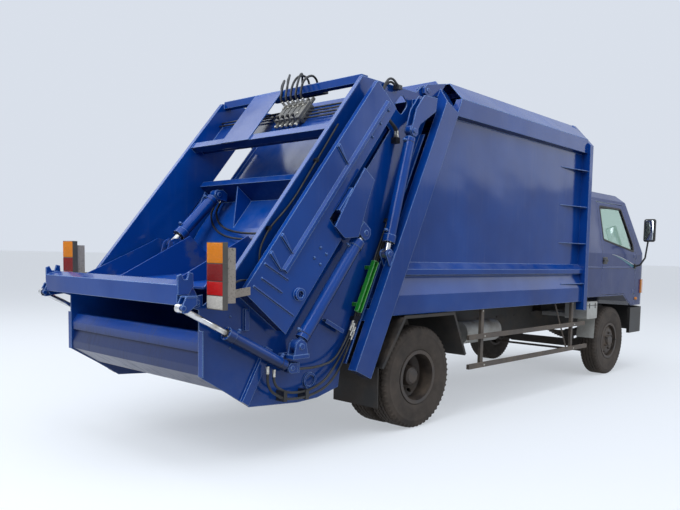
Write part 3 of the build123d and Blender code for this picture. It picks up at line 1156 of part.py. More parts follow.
def main():
    os.makedirs("parts", exist_ok=True)
    for make in (chassis_frame, front_axle, rear_axle, driveline, fuel_tank, battery_box, side_guards,
                 rear_fenders, container_floor, container_sides, container_roof, container_front, rear_frame,
                 tie_rod):
        write(make.__name__, make())
    write("ejector_panel", ejector())
    for name, side in (("left", 1), ("right", -1)):
        flip = (lambda s: s) if side == 1 else (lambda s: mirror(s, Plane.XZ))
        write(f"knuckle_{name}", flip(knuckle()))
        write(f"tyre_front_{name}", flip(tyre(WHEELBASE, FRONT_TYRE_OUTER)))
        write(f"rim_front_{name}", flip(front_rim(WHEELBASE)))
        twins = tyre(0, REAR_TYRE_OUTER) + tyre(0, REAR_TYRE_OUTER - TWIN_PITCH)
        write(f"tyres_rear_{name}", flip(twins))
        write(f"rims_rear_{name}", flip(rear_rims()))
        write_cab(f"mirror_{name}", mirror_head(side))
    for make in (gate_frame, hopper_trough, tail_lamps, lamp_boxes, safety_props, valve_block,
                 hydraulic_lines, carrier, blade, lift_beam):
        write_tail(make.__name__, make())
    for name, route in HOSES:
        write_tail(name, supply_hose(route))
    for name, make in (("slide", slide_rams), ("blade", blade_rams), ("lift", lift_rams),
                       ("raise", raise_rams)):
        barrel, rod = make()
        write_tail(f"{name}_barrels", both(barrel))
        write_tail(f"{name}_rods", both(rod))
    shell, roof, front, panes, door, glass = cab_nodes()
    write_cab("cab_shell", shell)
    write_cab("cab_roof", roof)
    write_cab("cab_front", front)
    write_cab("cab_glass", panes)
    for name, side in (("left", 1), ("right", -1)):
        flip = (lambda s: s) if side == 1 else (lambda s: mirror(s, Plane.XZ))
        write_cab(f"door_{name}", flip(door))
        write_cab(f"door_glass_{name}", flip(glass))
    for make in (cabin_trim, seat_pads, front_bumper, front_lamps, grille):
        write_cab(make.__name__, make())


main()
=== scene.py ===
import bpy
import bmesh
from math import cos, exp, pi, radians, sin
from mathutils import Matrix, Vector


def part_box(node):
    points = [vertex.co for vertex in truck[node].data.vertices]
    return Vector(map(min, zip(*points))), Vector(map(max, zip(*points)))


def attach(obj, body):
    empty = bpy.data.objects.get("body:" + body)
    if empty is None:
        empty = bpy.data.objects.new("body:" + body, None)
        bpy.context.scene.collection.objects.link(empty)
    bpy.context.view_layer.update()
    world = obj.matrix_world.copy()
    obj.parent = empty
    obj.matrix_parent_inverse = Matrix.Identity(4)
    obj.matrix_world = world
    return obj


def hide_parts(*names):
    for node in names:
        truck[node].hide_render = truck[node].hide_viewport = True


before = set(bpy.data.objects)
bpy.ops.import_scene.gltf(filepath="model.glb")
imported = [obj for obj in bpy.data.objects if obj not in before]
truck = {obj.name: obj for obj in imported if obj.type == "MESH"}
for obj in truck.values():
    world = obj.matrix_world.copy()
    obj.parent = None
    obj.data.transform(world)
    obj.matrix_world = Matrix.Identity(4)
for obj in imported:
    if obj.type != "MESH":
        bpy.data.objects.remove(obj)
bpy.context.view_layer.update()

# Camera: behind the truck's right rear corner, at eye height above level ground. Its turn is given by
# the directions of the picture's right, up and forward, and its crop by the lens and its shift.
eye = Vector((-5.7514, -4.5249, 1.4049))
yaw, pitch, roll = 0.6971, -0.0794, 0.0237
forward = Vector((cos(yaw) * cos(pitch), sin(yaw) * cos(pitch), sin(pitch)))
level = Vector((sin(yaw), -cos(yaw), 0))
above = level.cross(forward)
right = cos(roll) * level + sin(roll) * above
up = cos(roll) * above - sin(roll) * level
view = bpy.data.objects.new("photographer", bpy.data.cameras.new("photographer"))
view.matrix_world = Matrix((
    (right.x, up.x, -forward.x, eye.x),
    (right.y, up.y, -forward.y, eye.y),
    (right.z, up.z, -forward.z, eye.z),
    (0, 0, 0, 1)))
view.data.sensor_width = 36
view.data.lens = 36.71
view.data.shift_x = -0.0988
view.data.shift_y = 0.0836
view.data.clip_end = 900
bpy.context.scene.collection.objects.link(view)
bpy.context.scene.camera = view
bpy.context.scene.view_settings.view_transform = "Standard"


# Supply hoses of the packer: two rubber hoses with a textile cover that hang in loops from the
# carrier's shelf to the manifold of the blade cylinders, crimped into plated fittings at both ends.
def srgb(code):
    """sRGB hex to the linear colour that a shader takes."""
    parts = [int(code[i:i + 2], 16) / 255 for i in (1, 3, 5)]
    return [c / 12.92 if c <= 0.04045 else ((c + 0.055) / 1.055) ** 2.4 for c in parts] + [1]


def feed(node, inputs):
    """Sets a node's inputs: to values, hex colours, nodes' first outputs or named outputs."""
    for name, value in inputs.items():
        if isinstance(value, str):
            value = srgb(value)
        if isinstance(value, bpy.types.Node):
            value = value.outputs[0]
        if isinstance(value, bpy.types.NodeSocket):
            node.id_data.links.new(value, node.inputs[name])
        else:
            node.inputs[name].default_value = value


def add(tree, kind, inputs=None, **settings):
    """One node with its settings and its inputs."""
    made = tree.nodes.new(kind)
    for name, value in settings.items():
        setattr(made, name, value)
    feed(made, inputs or {})
    return made


def material(name, **sockets):
    """A new material with its tree and shader; plain values go on the shader's own sockets."""
    made = bpy.data.materials.new(name)
    made.use_nodes = True
    shader = made.node_tree.nodes["Principled BSDF"]
    for socket, value in sockets.items():
        shader.inputs[socket.replace("_", " ")].default_value = value
    return made, made.node_tree, shader


def at(x, y, z):
    """Point in the scene from mm: ahead of the rear axle, to the left, above the ground."""
    middle = 1358.5
    return Vector(((x - middle) / 1000, y / 1000, z / 1000))


def on_gate(s, p, y):
    """Point s mm down the tailgate's rear slope and p mm into it."""
    top_x, top_z, lean = -620, 2730, radians(38)
    return at(top_x - s * sin(lean) + p * cos(lean), y, top_z - s * cos(lean) - p * sin(lean))


# black rubber, half matt, greyed in clouds of dust whose pale grey also stands in as a painted sheen, with a
# textile cover of about 2.4 mm weave
hose_rubber, tree, shader = material("hose_rubber", Roughness=0.45)
place = add(tree, "ShaderNodeTexCoord").outputs["Object"]
film = add(tree, "ShaderNodeTexNoise", {"Vector": place, "Scale": 9, "Detail": 6})
film = add(tree, "ShaderNodeMapRange", {"Value": film, "From Min": 0.42, "From Max": 0.8, "To Max": 0.3})
braid = add(tree, "ShaderNodeTexVoronoi", {"Vector": place, "Scale": 420})
tint = add(tree, "ShaderNodeMixRGB", {"Fac": film, "Color1": "#0c0c0e", "Color2": "#666b74"})
weave = add(tree, "ShaderNodeBump", {"Height": braid, "Strength": 0.4, "Distance": 0.0006})
feed(shader, {"Base Color": tint, "Normal": weave})

HOSE_DEPTH = 445  # mm into the tailgate
HOSE_RADIUS = 0.009
HOSES = [  # name, length in m, and the route as mm down the tailgate's slope and y
    ("supply_hose_upper", 1.047, [(744.3, 690), (850, 690), (955, 600), (1046, 465), (1106, 290),
                                  (1132, 115), (1140, -35), (1140, -169.7)]),
    ("supply_hose_lower", 1.140, [(744.3, 750), (868, 750), (985, 648), (1085, 510), (1156, 338),
                                  (1190, 155), (1200, -10), (1200, -169.7)])]
for name, length, route in HOSES:
    points = [on_gate(s, HOSE_DEPTH, y) for s, y in route]
    line = bpy.data.curves.new(name + "_line", "CURVE")
    line.dimensions = "3D"
    line.bevel_depth = HOSE_RADIUS
    line.bevel_resolution = 4
    line.use_fill_caps = True
    spline = line.splines.new("NURBS")
    spline.points.add(len(points) - 1)
    for point, where in zip(spline.points, points):
        point.co = (*where, 1)
    spline.order_u = 3
    spline.use_endpoint_u = True
    spline.resolution_u = 12
    line.materials.append(hose_rubber)
    hose = bpy.data.objects.new(name + "_line", line)
    bpy.context.scene.collection.objects.link(hose)
    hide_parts(name)
    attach(hose, "carriage")


# Floor: a pale plain screed, large enough to be the backdrop too, that takes the truck's shadow. It
# shows pale to the camera, glass and bright metal, and throws up no more light than grey concrete.
def seen(tree):
    """1 where the camera, a gloss or a glass looks, 0 where only light is gathered."""
    ray = add(tree, "ShaderNodeLightPath")
    shown = add(tree, "ShaderNodeMath", {0: ray.outputs["Is Camera Ray"], 1: ray.outputs["Is Glossy Ray"]},
                operation="MAXIMUM")
    return add(tree, "ShaderNodeMath", {0: shown, 1: ray.outputs["Is Transmission Ray"]},
               operation="MAXIMUM").outputs[0]


screed, tree, shader = material("pale_screed", Roughness=0.95, Specular_IOR_Level=0.2)
shown = seen(tree)
tint = add(tree, "ShaderNodeMixRGB", {"Fac": shown, "Color1": "#96938e", "Color2": "#b6b8bb"})
feed(shader, {"Base Color": tint, "Emission Color": "#adb1b6", "Emission Strength": shown})
reach = 300
floor_mesh = bpy.data.meshes.new("yard_floor")
floor_mesh.from_pydata([(-reach, -reach, 0), (reach, -reach, 0), (reach, reach, 0), (-reach, reach, 0)],
                       [], [(0, 1, 2, 3)])
floor = bpy.data.objects.new("yard_floor", floor_mesh)
floor.data.materials.append(screed)
bpy.context.scene.collection.objects.link(floor)


# Daylight: an overcast sky, evenly pale where it is seen, and five wide soft lamps for its brighter
# parts, strongest from above and from behind the truck.
sky = bpy.data.worlds.new("overcast")
sky.use_nodes = True
bpy.context.scene.world = sky
tree = sky.node_tree
glow = add(tree, "ShaderNodeMapRange", {"Value": seen(tree), "To Min": 0.48, "To Max": 0.88})
feed(tree.nodes["Background"], {"Color": "#e6edf8", "Strength": glow})
for name, place, aim, size, power in (  # m and W
        ("sky_above", (-2, -2, 11), (0, 0, 1), 11, 560),
        ("sky_left", (-5, 8, 9), (-1, 0, 1.5), 7, 330),
        ("sky_behind", (-10, -2, 7), (-2, 0, 1.2), 6, 520),
        ("sky_side", (1, -10, 9), (0.5, 0, 1.2), 7, 170),
        ("sky_ahead", (12, -9.5, 7.5), (0, -1, 2.4), 8, 260)):
    lamp = bpy.data.objects.new(name, bpy.data.lights.new(name, "AREA"))
    lamp.data.size = size
    lamp.data.energy = power
    lamp.data.color = (0.92, 0.96, 1)
    lamp.location = place
    lamp.rotation_euler = (Vector(place) - Vector(aim)).to_track_quat("Z", "Y").to_euler()
    bpy.context.scene.collection.objects.link(lamp)


# Container and tailgate: welded steel sheet and folded channels under sprayed blue enamel, glossy and
# slightly wavy. Its edges carry a pale painted highlight and what faces down a painted shade, with dust on
# what faces up and rain streaks.
def coat(finish, *nodes):
    """Gives solids of the frame their finish."""
    for node in nodes:
        for slot in truck[node].material_slots:
            slot.material = finish


def enamel(name, colour, shade, edge, dust, dirt, rough=0.2):
    """Sprayed gloss paint: colour and its darker patches, the pale colour of the painted edge highlight, dust
    colour and share.
    """
    made, tree, shader = material(name, Specular_IOR_Level=0.3)
    place = add(tree, "ShaderNodeTexCoord").outputs["Object"]
    facing = add(tree, "ShaderNodeNewGeometry")
    cloud = add(tree, "ShaderNodeTexNoise", {"Vector": place, "Scale": 1.7, "Detail": 5})
    patch = add(tree, "ShaderNodeMapRange", {"Value": cloud, "From Min": 0.35, "From Max": 0.7})
    paint = add(tree, "ShaderNodeMixRGB", {"Fac": patch, "Color1": shade, "Color2": colour})
    # painted highlight: a pale colour on the edges, where the rounded normal leaves the flat one
    soft = add(tree, "ShaderNodeBevel", {"Radius": 0.008}, samples=6)
    turn = add(tree, "ShaderNodeVectorMath", {0: soft, 1: facing.outputs["True Normal"]},
               operation="DOT_PRODUCT")
    edge_highlight = add(tree, "ShaderNodeMapRange", {"Value": turn.outputs["Value"], "From Min": 0.995,
                                           "From Max": 0.88, "To Max": 0.75})
    paint = add(tree, "ShaderNodeMixRGB", {"Fac": edge_highlight, "Color1": paint, "Color2": edge})
    # rain streaks run straight down, dust lies on upward faces and low down
    stretched = add(tree, "ShaderNodeMapping", {"Vector": place, "Scale": (26, 26, 0.9)})
    streak = add(tree, "ShaderNodeTexNoise", {"Vector": stretched, "Scale": 1, "Detail": 4})
    streak = add(tree, "ShaderNodeMapRange", {"Value": streak, "From Min": 0.5, "From Max": 0.8,
                                              "To Max": 0.35})
    height = add(tree, "ShaderNodeSeparateXYZ", {0: place})
    low = add(tree, "ShaderNodeMapRange", {"Value": height.outputs["Z"], "From Min": 1.5, "From Max": 0.4,
                                           "To Max": 0.35})
    rise = add(tree, "ShaderNodeSeparateXYZ", {0: facing.outputs["Normal"]})
    lying = add(tree, "ShaderNodeMapRange", {"Value": rise.outputs["Z"], "From Min": 0.3, "From Max": 0.95,
                                             "To Max": 0.9})
    most = add(tree, "ShaderNodeMath", {0: low, 1: lying}, operation="MAXIMUM")
    most = add(tree, "ShaderNodeMath", {0: most, 1: streak}, operation="MAXIMUM")
    grit = add(tree, "ShaderNodeTexNoise", {"Vector": place, "Scale": 7, "Detail": 9, "Roughness": 0.62})
    grit = add(tree, "ShaderNodeMapRange", {"Value": grit, "From Min": 0.36, "From Max": 0.68,
                                            "To Max": dirt})
    film = add(tree, "ShaderNodeMath", {0: most, 1: grit}, operation="MULTIPLY")
    # painted shade: what faces down is darkened to a deep navy
    under_shade = add(tree, "ShaderNodeMapRange", {"Value": rise.outputs["Z"], "From Min": 0.02, "From Max": -0.35,
                                             "To Max": 0.7})
    paint = add(tree, "ShaderNodeMixRGB", {"Fac": under_shade, "Color1": paint, "Color2": "#12162b"})
    look = add(tree, "ShaderNodeMixRGB", {"Fac": film, "Color1": paint, "Color2": dust})
    gloss = add(tree, "ShaderNodeMapRange", {"Value": film, "To Min": rough, "To Max": 0.85})
    # sheet between its folds waves over about 400 mm; the spray's orange peel is near 2.6 mm, coarser
    # than the real one so that it shows
    wave = add(tree, "ShaderNodeTexNoise", {"Vector": place, "Scale": 2.4, "Detail": 1})
    wave = add(tree, "ShaderNodeBump", {"Height": wave, "Normal": soft, "Strength": 0.5, "Distance": 0.02})
    peel = add(tree, "ShaderNodeTexNoise", {"Vector": place, "Scale": 380, "Detail": 1})
    peel = add(tree, "ShaderNodeBump", {"Height": peel, "Normal": wave,
                                        "Strength": 0.15, "Distance": 0.0004})
    feed(shader, {"Base Color": look, "Roughness": gloss, "Normal": peel})
    return made


# the third colour of each enamel is the pale colour of its painted edge highlight
blue_enamel = enamel("blue_enamel", "#05479f", "#043b8b", "#8fb6ee", "#7c8698", 0.25, 0.13)
coat(blue_enamel, "container_sides", "container_roof", "container_front", "container_floor", "rear_frame",
     "gate_frame", "carrier", "lift_beam", "slide_barrels", "blade_barrels", "lift_barrels", "raise_barrels")


# Fittings of the hydraulic lines: plated steel ferrules crimped on the hose ends, with a hexagon
# behind each that screws into the valve, the manifold or a cylinder's port.
def skin(mesh, rings, around=True, capped=True):
    """Joins rings of equal count to one skin in mesh, which is a pair of points and faces."""
    points, faces = mesh
    start, count = len(points), len(rings[0])
    points += [tuple(p) for ring in rings for p in ring]
    for k in range(len(rings) - 1):
        for i in range(count if around else count - 1):
            a, b = start + k * count + i, start + k * count + (i + 1) % count
            faces.append((a, b, b + count, a + count))
    if capped:
        faces.append(tuple(range(start + count - 1, start - 1, -1)))
        faces.append(tuple(range(len(points) - count, len(points))))


def turned(mesh, profile, base, axis, steps=16):
    """Turned form: (distance along the axis, radius) pairs in mm from base."""
    axis = axis.normalized()
    side = axis.orthogonal().normalized()
    other = axis.cross(side)
    skin(mesh, [[base + (axis * along + (side * cos(2 * pi * i / steps) + other * sin(2 * pi * i / steps))
                         * radius) / 1000 for i in range(steps)] for along, radius in profile])


def piece(name, mesh, finish, body, smooth=35):
    """Object from a pair of points and faces that rides on a body."""
    data = bpy.data.meshes.new(name)
    data.from_pydata(mesh[0], [], mesh[1])
    work = bmesh.new()
    work.from_mesh(data)
    bmesh.ops.recalc_face_normals(work, faces=work.faces)
    work.to_mesh(data)
    work.free()
    data.polygons.foreach_set("use_smooth", [True] * len(data.polygons))
    data.set_sharp_from_angle(angle=radians(smooth))
    data.materials.append(finish)
    made = bpy.data.objects.new(name, data)
    bpy.context.scene.collection.objects.link(made)
    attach(made, body)
    return made


# zinc plate: bright grey metal, dulled in clouds by a white bloom
zinc, tree, shader = material("zinc_plate", Metallic=1.0)
place = add(tree, "ShaderNodeTexCoord").outputs["Object"]
bloom = add(tree, "ShaderNodeTexNoise", {"Vector": place, "Scale": 60, "Detail": 5})
tint = add(tree, "ShaderNodeMixRGB", {"Fac": bloom, "Color1": "#d9d8d2", "Color2": "#8f8a7c"})
dull = add(tree, "ShaderNodeMapRange", {"Value": bloom, "To Min": 0.25, "To Max": 0.55})
feed(shader, {"Base Color": tint, "Roughness": dull})


def ferrule(mesh, end, toward):
    """Hexagon at the hose's end and the crimped sleeve that runs back over it."""
    turned(mesh, [(0, 11), (2, 13), (14, 13), (16, 11)], end, toward, 6)
    turned(mesh, [(15, 10), (17, 11.5), (22, 11.5), (23, 10.8), (29, 10.8), (30, 11.5), (36, 11.5),
                  (37, 10.8), (43, 10.8), (44, 11.5), (50, 11.2), (52, 9.2)], end, toward, 20)


def behind_mouth(z, gap):
    """x of the line that runs gap mm behind the tailgate's mouth, which leans by 25.6 degrees."""
    mouth_x, mouth_z, tangent, cosine = 245, 2680, 0.4791, 0.9018
    return mouth_x + (z - mouth_z) * tangent - gap / cosine


across = Vector((0, 1, 0))
along_slope = on_gate(100, 0, 0) - on_gate(0, 0, 0)
into_slope = on_gate(0, 100, 0) - on_gate(0, 0, 0)
up_mouth = Vector((0.432, 0, 0.902))
ends = ([], [])
for valve_y, header_y in ((-300, -250), (-240, -60), (-180, -150), (-120, 130), (-60, 210)):
    ferrule(ends, on_gate(130, 59.5, valve_y), -into_slope)
    ferrule(ends, at(-488, header_y, 2740.2), Vector((0.06, 0, 1)))
for side in (-1, 1):
    for gap, low in ((52, 760), (30, 730), (74, 800)):
        joint = at(behind_mouth(low + 90, gap), side * 890, low + 90)
        ferrule(ends, joint, -up_mouth)
        ferrule(ends, joint, up_mouth)
    ferrule(ends, at(-1462, side * 930, 638), Vector((0, 0, -1)))
    ferrule(ends, at(-1515, side * 930, 664), Vector((0, 0, -1)))
    for out in (22, 44):
        ferrule(ends, at(-240, side * (860 + out), 2331.2), Vector((0, 0, 1)))
piece("hose_ends", ends, zinc, "tailgate")
coat(hose_rubber, "hydraulic_lines")

ends = ([], [])
for y in (690, 750):
    ferrule(ends, on_gate(744.6, HOSE_DEPTH, y), along_slope)
for s in (1140, 1200):
    ferrule(ends, on_gate(s, HOSE_DEPTH, -169.6), across)
piece("supply_hose_ends", ends, zinc, "carriage")


# Control valve: grey cast bodies bolted side by side, a plated nut on each spool's cap and a moulded
# knob on each hand lever.
def cast(name, colour, dust, share, rough, grain=0.0006):
    """Cast, moulded or thickly painted surface of fine grain, with road dust caked in clouds, most on what
    faces up.
    """
    made, tree, shader = material(name)
    place = add(tree, "ShaderNodeTexCoord").outputs["Object"]
    facing = add(tree, "ShaderNodeNewGeometry")
    cloud = add(tree, "ShaderNodeTexNoise", {"Vector": place, "Scale": 6, "Detail": 9, "Roughness": 0.6})
    rise = add(tree, "ShaderNodeSeparateXYZ", {0: facing.outputs["Normal"]})
    lying = add(tree, "ShaderNodeMapRange", {"Value": rise.outputs["Z"], "From Min": -0.2, "From Max": 0.9,
                                             "To Min": 0.5, "To Max": 1.3})
    cake = add(tree, "ShaderNodeMapRange", {"Value": cloud, "From Min": 0.38, "From Max": 0.68,
                                            "To Max": share})
    cake = add(tree, "ShaderNodeMath", {0: cake, 1: lying}, operation="MULTIPLY", use_clamp=True)
    look = add(tree, "ShaderNodeMixRGB", {"Fac": cake, "Color1": colour, "Color2": dust})
    gloss = add(tree, "ShaderNodeMapRange", {"Value": cake, "To Min": rough, "To Max": 0.92})
    soft = add(tree, "ShaderNodeBevel", {"Radius": 0.003}, samples=4)
    # grain of about 4 mm, coarser than moulding sand so that it shows
    sand = add(tree, "ShaderNodeTexNoise", {"Vector": place, "Scale": 240, "Detail": 3})
    sand = add(tree, "ShaderNodeBump", {"Height": sand, "Normal": soft, "Strength": 0.6, "Distance": grain})
    feed(shader, {"Base Color": look, "Roughness": gloss, "Normal": sand})
    return made


valve_iron = cast("valve_iron", "#4a4d50", "#a39f96", 0.6, 0.45)
coat(valve_iron, "valve_block")
nuts, knobs = ([], []), ([], [])
for y in range(-300, 0, 60):
    for s, way in ((50, -along_slope), (325, along_slope)):
        turned(nuts, [(0, 13), (2, 16), (16, 16), (18, 13)], on_gate(s, 92, y), way, 6)
    for s in (150, 240):
        turned(nuts, [(0, 9), (1.5, 10.5), (8, 10.5), (9.5, 9)], on_gate(s, 60.2, y + 15), -into_slope, 6)
    turned(knobs, [(-4, 6), (2, 10), (8, 13), (14, 14), (20, 13), (26, 9), (28, 4)], on_gate(302, 34, y),
           on_gate(300, 20, y) - on_gate(310, 92, y), 16)
piece("valve_nuts", nuts, zinc, "tailgate")
knob_plastic = cast("knob_plastic", "#161616", "#6c675f", 0.25, 0.35, 0.0001)
piece("lever_knobs", knobs, knob_plastic, "tailgate")


# Hydraulic cylinders: enamelled steel barrels with a rubber wiper ring and six plated gland screws
# where the rod comes out, a rubber band near the base and a turned port at each end. Their rods are
# ground and hard-chromed.

# hard chrome: a mirror, blurred where a film of oil holds dust
chrome, tree, shader = material("hard_chrome", Metallic=1.0)
place = add(tree, "ShaderNodeTexCoord").outputs["Object"]
film = add(tree, "ShaderNodeTexNoise", {"Vector": place, "Scale": 11, "Detail": 7})
film = add(tree, "ShaderNodeMapRange", {"Value": film, "From Min": 0.45, "From Max": 0.7})
tint = add(tree, "ShaderNodeMixRGB", {"Fac": film, "Color1": "#d5d6d8", "Color2": "#a39e95"})
dull = add(tree, "ShaderNodeMapRange", {"Value": film, "To Min": 0.12, "To Max": 0.5})
feed(shader, {"Base Color": tint, "Roughness": dull})
coat(chrome, "slide_rods", "blade_rods", "lift_rods", "raise_rods")

# matt black rubber, greyed in spots
seal_rubber, tree, shader = material("seal_rubber", Roughness=0.6)
place = add(tree, "ShaderNodeTexCoord").outputs["Object"]
film = add(tree, "ShaderNodeTexNoise", {"Vector": place, "Scale": 40, "Detail": 4})
film = add(tree, "ShaderNodeMapRange", {"Value": film, "From Min": 0.45, "From Max": 0.8, "To Max": 0.4})
tint = add(tree, "ShaderNodeMixRGB", {"Fac": film, "Color1": "#101011", "Color2": "#4c4a47"})
feed(shader, {"Base Color": tint})

RAMS = [  # name, body, base pin and rod's eye on the left, barrel and rod radius, barrel length
    ("slide", "tailgate", on_gate(1947, 667, 970), on_gate(950, 667, 970), 48, 26, 905),
    ("blade", "blade_cylinders", at(-854, 600, 1895), at(-1285, 600, 1461), 50, 28, 500),
    ("lift", "lift_cylinders", at(-1330, 930, 635), at(-2156, 930, 1074), 38, 19, 565),
    ("raise", "raise_cylinders", at(-143, 966, 2388), at(-410, 966, 1421), 45, 24, 898)]
for name, body, base, tip, barrel_r, rod_r, length in RAMS:
    rings, bolts, ports = ([], []), ([], []), ([], [])
    for side in (-1, 1):
        start = Vector((base.x, side * base.y, base.z))
        line = (Vector((tip.x, side * tip.y, tip.z)) - start).normalized()
        face = start + line * (length + 12) / 1000
        turned(rings, [(-2, rod_r + 9), (4, rod_r + 9), (7, rod_r + 5), (7, rod_r + 1.4), (-2, rod_r + 1.4)],
               face, line, 28)
        turned(rings, [(0, barrel_r), (3, barrel_r + 1.5), (6, barrel_r)], start + line * 0.09, line, 28)
        out = line.cross(across).normalized()
        for turn in range(0, 360, 60):
            aside = out * cos(radians(turn)) + across * sin(radians(turn))
            turned(bolts, [(0, 4.5), (4, 4.5), (4.6, 3.8)], face + aside * (barrel_r - 1.5) / 1000, line, 6)
        rise = -out if out.z < 0 else out
        for along in (95, length - 70):
            foot = start + line * along / 1000 + rise * (barrel_r - 2) / 1000
            turned(ports, [(0, 15), (9, 15), (9, 11), (11, 13), (22, 13), (24, 10), (30, 9)], foot, rise, 12)
    piece(name + "_wipers", rings, seal_rubber, body)
    piece(name + "_gland_screws", bolts, zinc, body)
    piece(name + "_ports", ports, blue_enamel, body)


# Hopper and sweep blade: the same enamel, scuffed to bare and browned steel where refuse slides over
# it, with painted shade darkening what faces down and what lies lowest.
def scuffed(name, colour, steel, share):
    """Gloss paint worn through to steel in long scratches and in patches."""
    made, tree, shader = material(name, Specular_IOR_Level=0.35)
    place = add(tree, "ShaderNodeTexCoord").outputs["Object"]
    patch = add(tree, "ShaderNodeTexNoise", {"Vector": place, "Scale": 4.5, "Detail": 10, "Roughness": 0.66})
    drawn = add(tree, "ShaderNodeMapping", {"Vector": place, "Scale": (3, 55, 3)})
    drawn = add(tree, "ShaderNodeTexNoise", {"Vector": drawn, "Scale": 1.6, "Detail": 8})
    both_ways = add(tree, "ShaderNodeMath", {0: patch, 1: drawn}, operation="MULTIPLY")
    bare = add(tree, "ShaderNodeMapRange", {"Value": both_ways, "From Min": 0.27, "From Max": 0.33,
                                            "To Max": share})
    rust = add(tree, "ShaderNodeTexNoise", {"Vector": place, "Scale": 14, "Detail": 6})
    metal = add(tree, "ShaderNodeMixRGB", {"Fac": rust, "Color1": steel, "Color2": "#564f4c"})
    look = add(tree, "ShaderNodeMixRGB", {"Fac": bare, "Color1": colour, "Color2": metal})
    # painted shade: what faces down, and everything below about 0.87 m (fully by 0.78 m), is darkened to a
    # deep navy
    rise = add(tree, "ShaderNodeSeparateXYZ", {0: add(tree, "ShaderNodeNewGeometry").outputs["Normal"]})
    under_shade = add(tree, "ShaderNodeMapRange", {"Value": rise.outputs["Z"], "From Min": 0.1, "From Max": -0.3,
                                             "To Max": 0.75})
    height = add(tree, "ShaderNodeSeparateXYZ", {0: place})
    low_shade = add(tree, "ShaderNodeMapRange", {"Value": height.outputs["Z"], "From Min": 0.87, "From Max": 0.78,
                                             "To Max": 0.7})
    under_shade = add(tree, "ShaderNodeMath", {0: under_shade, 1: low_shade}, operation="MAXIMUM")
    look = add(tree, "ShaderNodeMixRGB", {"Fac": under_shade, "Color1": look, "Color2": "#12162b"})
    gloss = add(tree, "ShaderNodeMapRange", {"Value": bare, "To Min": 0.3, "To Max": 0.6})
    soft = add(tree, "ShaderNodeBevel", {"Radius": 0.004}, samples=4)
    dents = add(tree, "ShaderNodeBump", {"Height": patch, "Normal": soft,
                                         "Strength": 0.5, "Distance": 0.004})
    feed(shader, {"Base Color": look, "Roughness": gloss, "Normal": dents})
    return made


coat(scuffed("scuffed_hopper_enamel", "#05429a", "#3f5688", 0.4), "hopper_trough")
coat(scuffed("scuffed_blade_enamel", "#06459c", "#6f7d95", 0.4), "blade")
coat(scuffed("scuffed_panel_enamel", "#06459c", "#717d90", 0.4), "ejector_panel")


# Tail lamps: a stack of four fluted acrylic lenses on each side, amber over dark red, bright red and
# white, held in a grey moulded frame before a galvanised box that mud and dust have speckled.
LENSES = [  # colour, lowest, highest
    ("amber", "#f58f0a", 1339, 1461),
    ("dark_red", "#8f0d0c", 1232, 1335),
    ("red", "#d5120f", 1146, 1228),
    ("white", "#dcd8d0", 1063, 1142)]
for colour, code, low, high in LENSES:
    acrylic, tree, shader = material("lens_" + colour, Roughness=0.15, IOR=1.49, Specular_IOR_Level=0.35)
    place = add(tree, "ShaderNodeTexCoord").outputs["Object"]
    # moulded prisms of about 6 mm
    prism = add(tree, "ShaderNodeTexVoronoi", {"Vector": place, "Scale": 170}, distance="MANHATTAN")
    glow = add(tree, "ShaderNodeMixRGB", {"Fac": prism.outputs["Distance"], "Color1": code,
                                          "Color2": [c * 0.7 for c in srgb(code)[:3]] + [1]})
    cut = add(tree, "ShaderNodeBump", {"Height": prism.outputs["Distance"], "Strength": 0.5,
                                       "Distance": 0.0015})
    feed(shader, {"Base Color": glow, "Normal": cut})
    # flutes 4 mm apart across the rear face, its long edges rounded
    outline = [(-1915, 891), (-1950, 891), (-1953, 893)]
    outline += [(-1953 - (1.6 if i % 2 else 0), 895 + 4 * i) for i in range(39)]
    outline += [(-1953, 1049), (-1950, 1050.5), (-1915, 1050.5)]
    levels = ((low, 3), (low + 2, 0.6), (low + 5, 0), (high - 5, 0), (high - 2, 0.6), (high, 3))
    for name, side in (("left", 1), ("right", -1)):
        lens = ([], [])
        skin(lens, [[at(x + (0 if x > -1930 else d), side * y, z) for x, y in outline] for z, d in levels])
        shown = piece("lens_" + colour + "_" + name, lens, acrylic, "tailgate", 25)
        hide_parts("tail_lamps")

frames = ([], [])
for side in (-1, 1):
    shelf = ((-1914, 888.5), (-1952, 888.5), (-1952, 1051), (-1914, 1051))
    for z in (1061, 1144, 1230, 1337, 1463):
        skin(frames, [[at(x, side * y, z + d) for x, y in shelf] for d in (-1.9, 1.9)])
    cheek = ((-1914, 1061), (-1951, 1061), (-1951, 1463), (-1914, 1463))
    for y in (889.5, 1050.2):
        skin(frames, [[at(x, side * (y + d), z) for x, z in cheek] for d in (-0.9, 0.7)])
frame_plastic = cast("lamp_frame_plastic", "#4a4844", "#8a847a", 0.3, 0.4, 0.0001)
piece("lamp_frames", frames, frame_plastic, "tailgate")

# galvanised sheet gone matt, under splashes of about 10 mm
speckled, tree, shader = material("speckled_galvanising", Roughness=0.75)
place = add(tree, "ShaderNodeTexCoord").outputs["Object"]
spots = add(tree, "ShaderNodeTexNoise", {"Vector": place, "Scale": 95, "Detail": 6, "Roughness": 0.75})
spots = add(tree, "ShaderNodeMapRange", {"Value": spots, "From Min": 0.34, "From Max": 0.46})
tint = add(tree, "ShaderNodeMixRGB", {"Fac": spots, "Color1": "#4b4744", "Color2": "#a29a92"})
crust = add(tree, "ShaderNodeBump", {"Height": spots, "Strength": 0.6, "Distance": 0.0015})
feed(shader, {"Base Color": tint, "Normal": crust})
coat(speckled, "lamp_boxes")


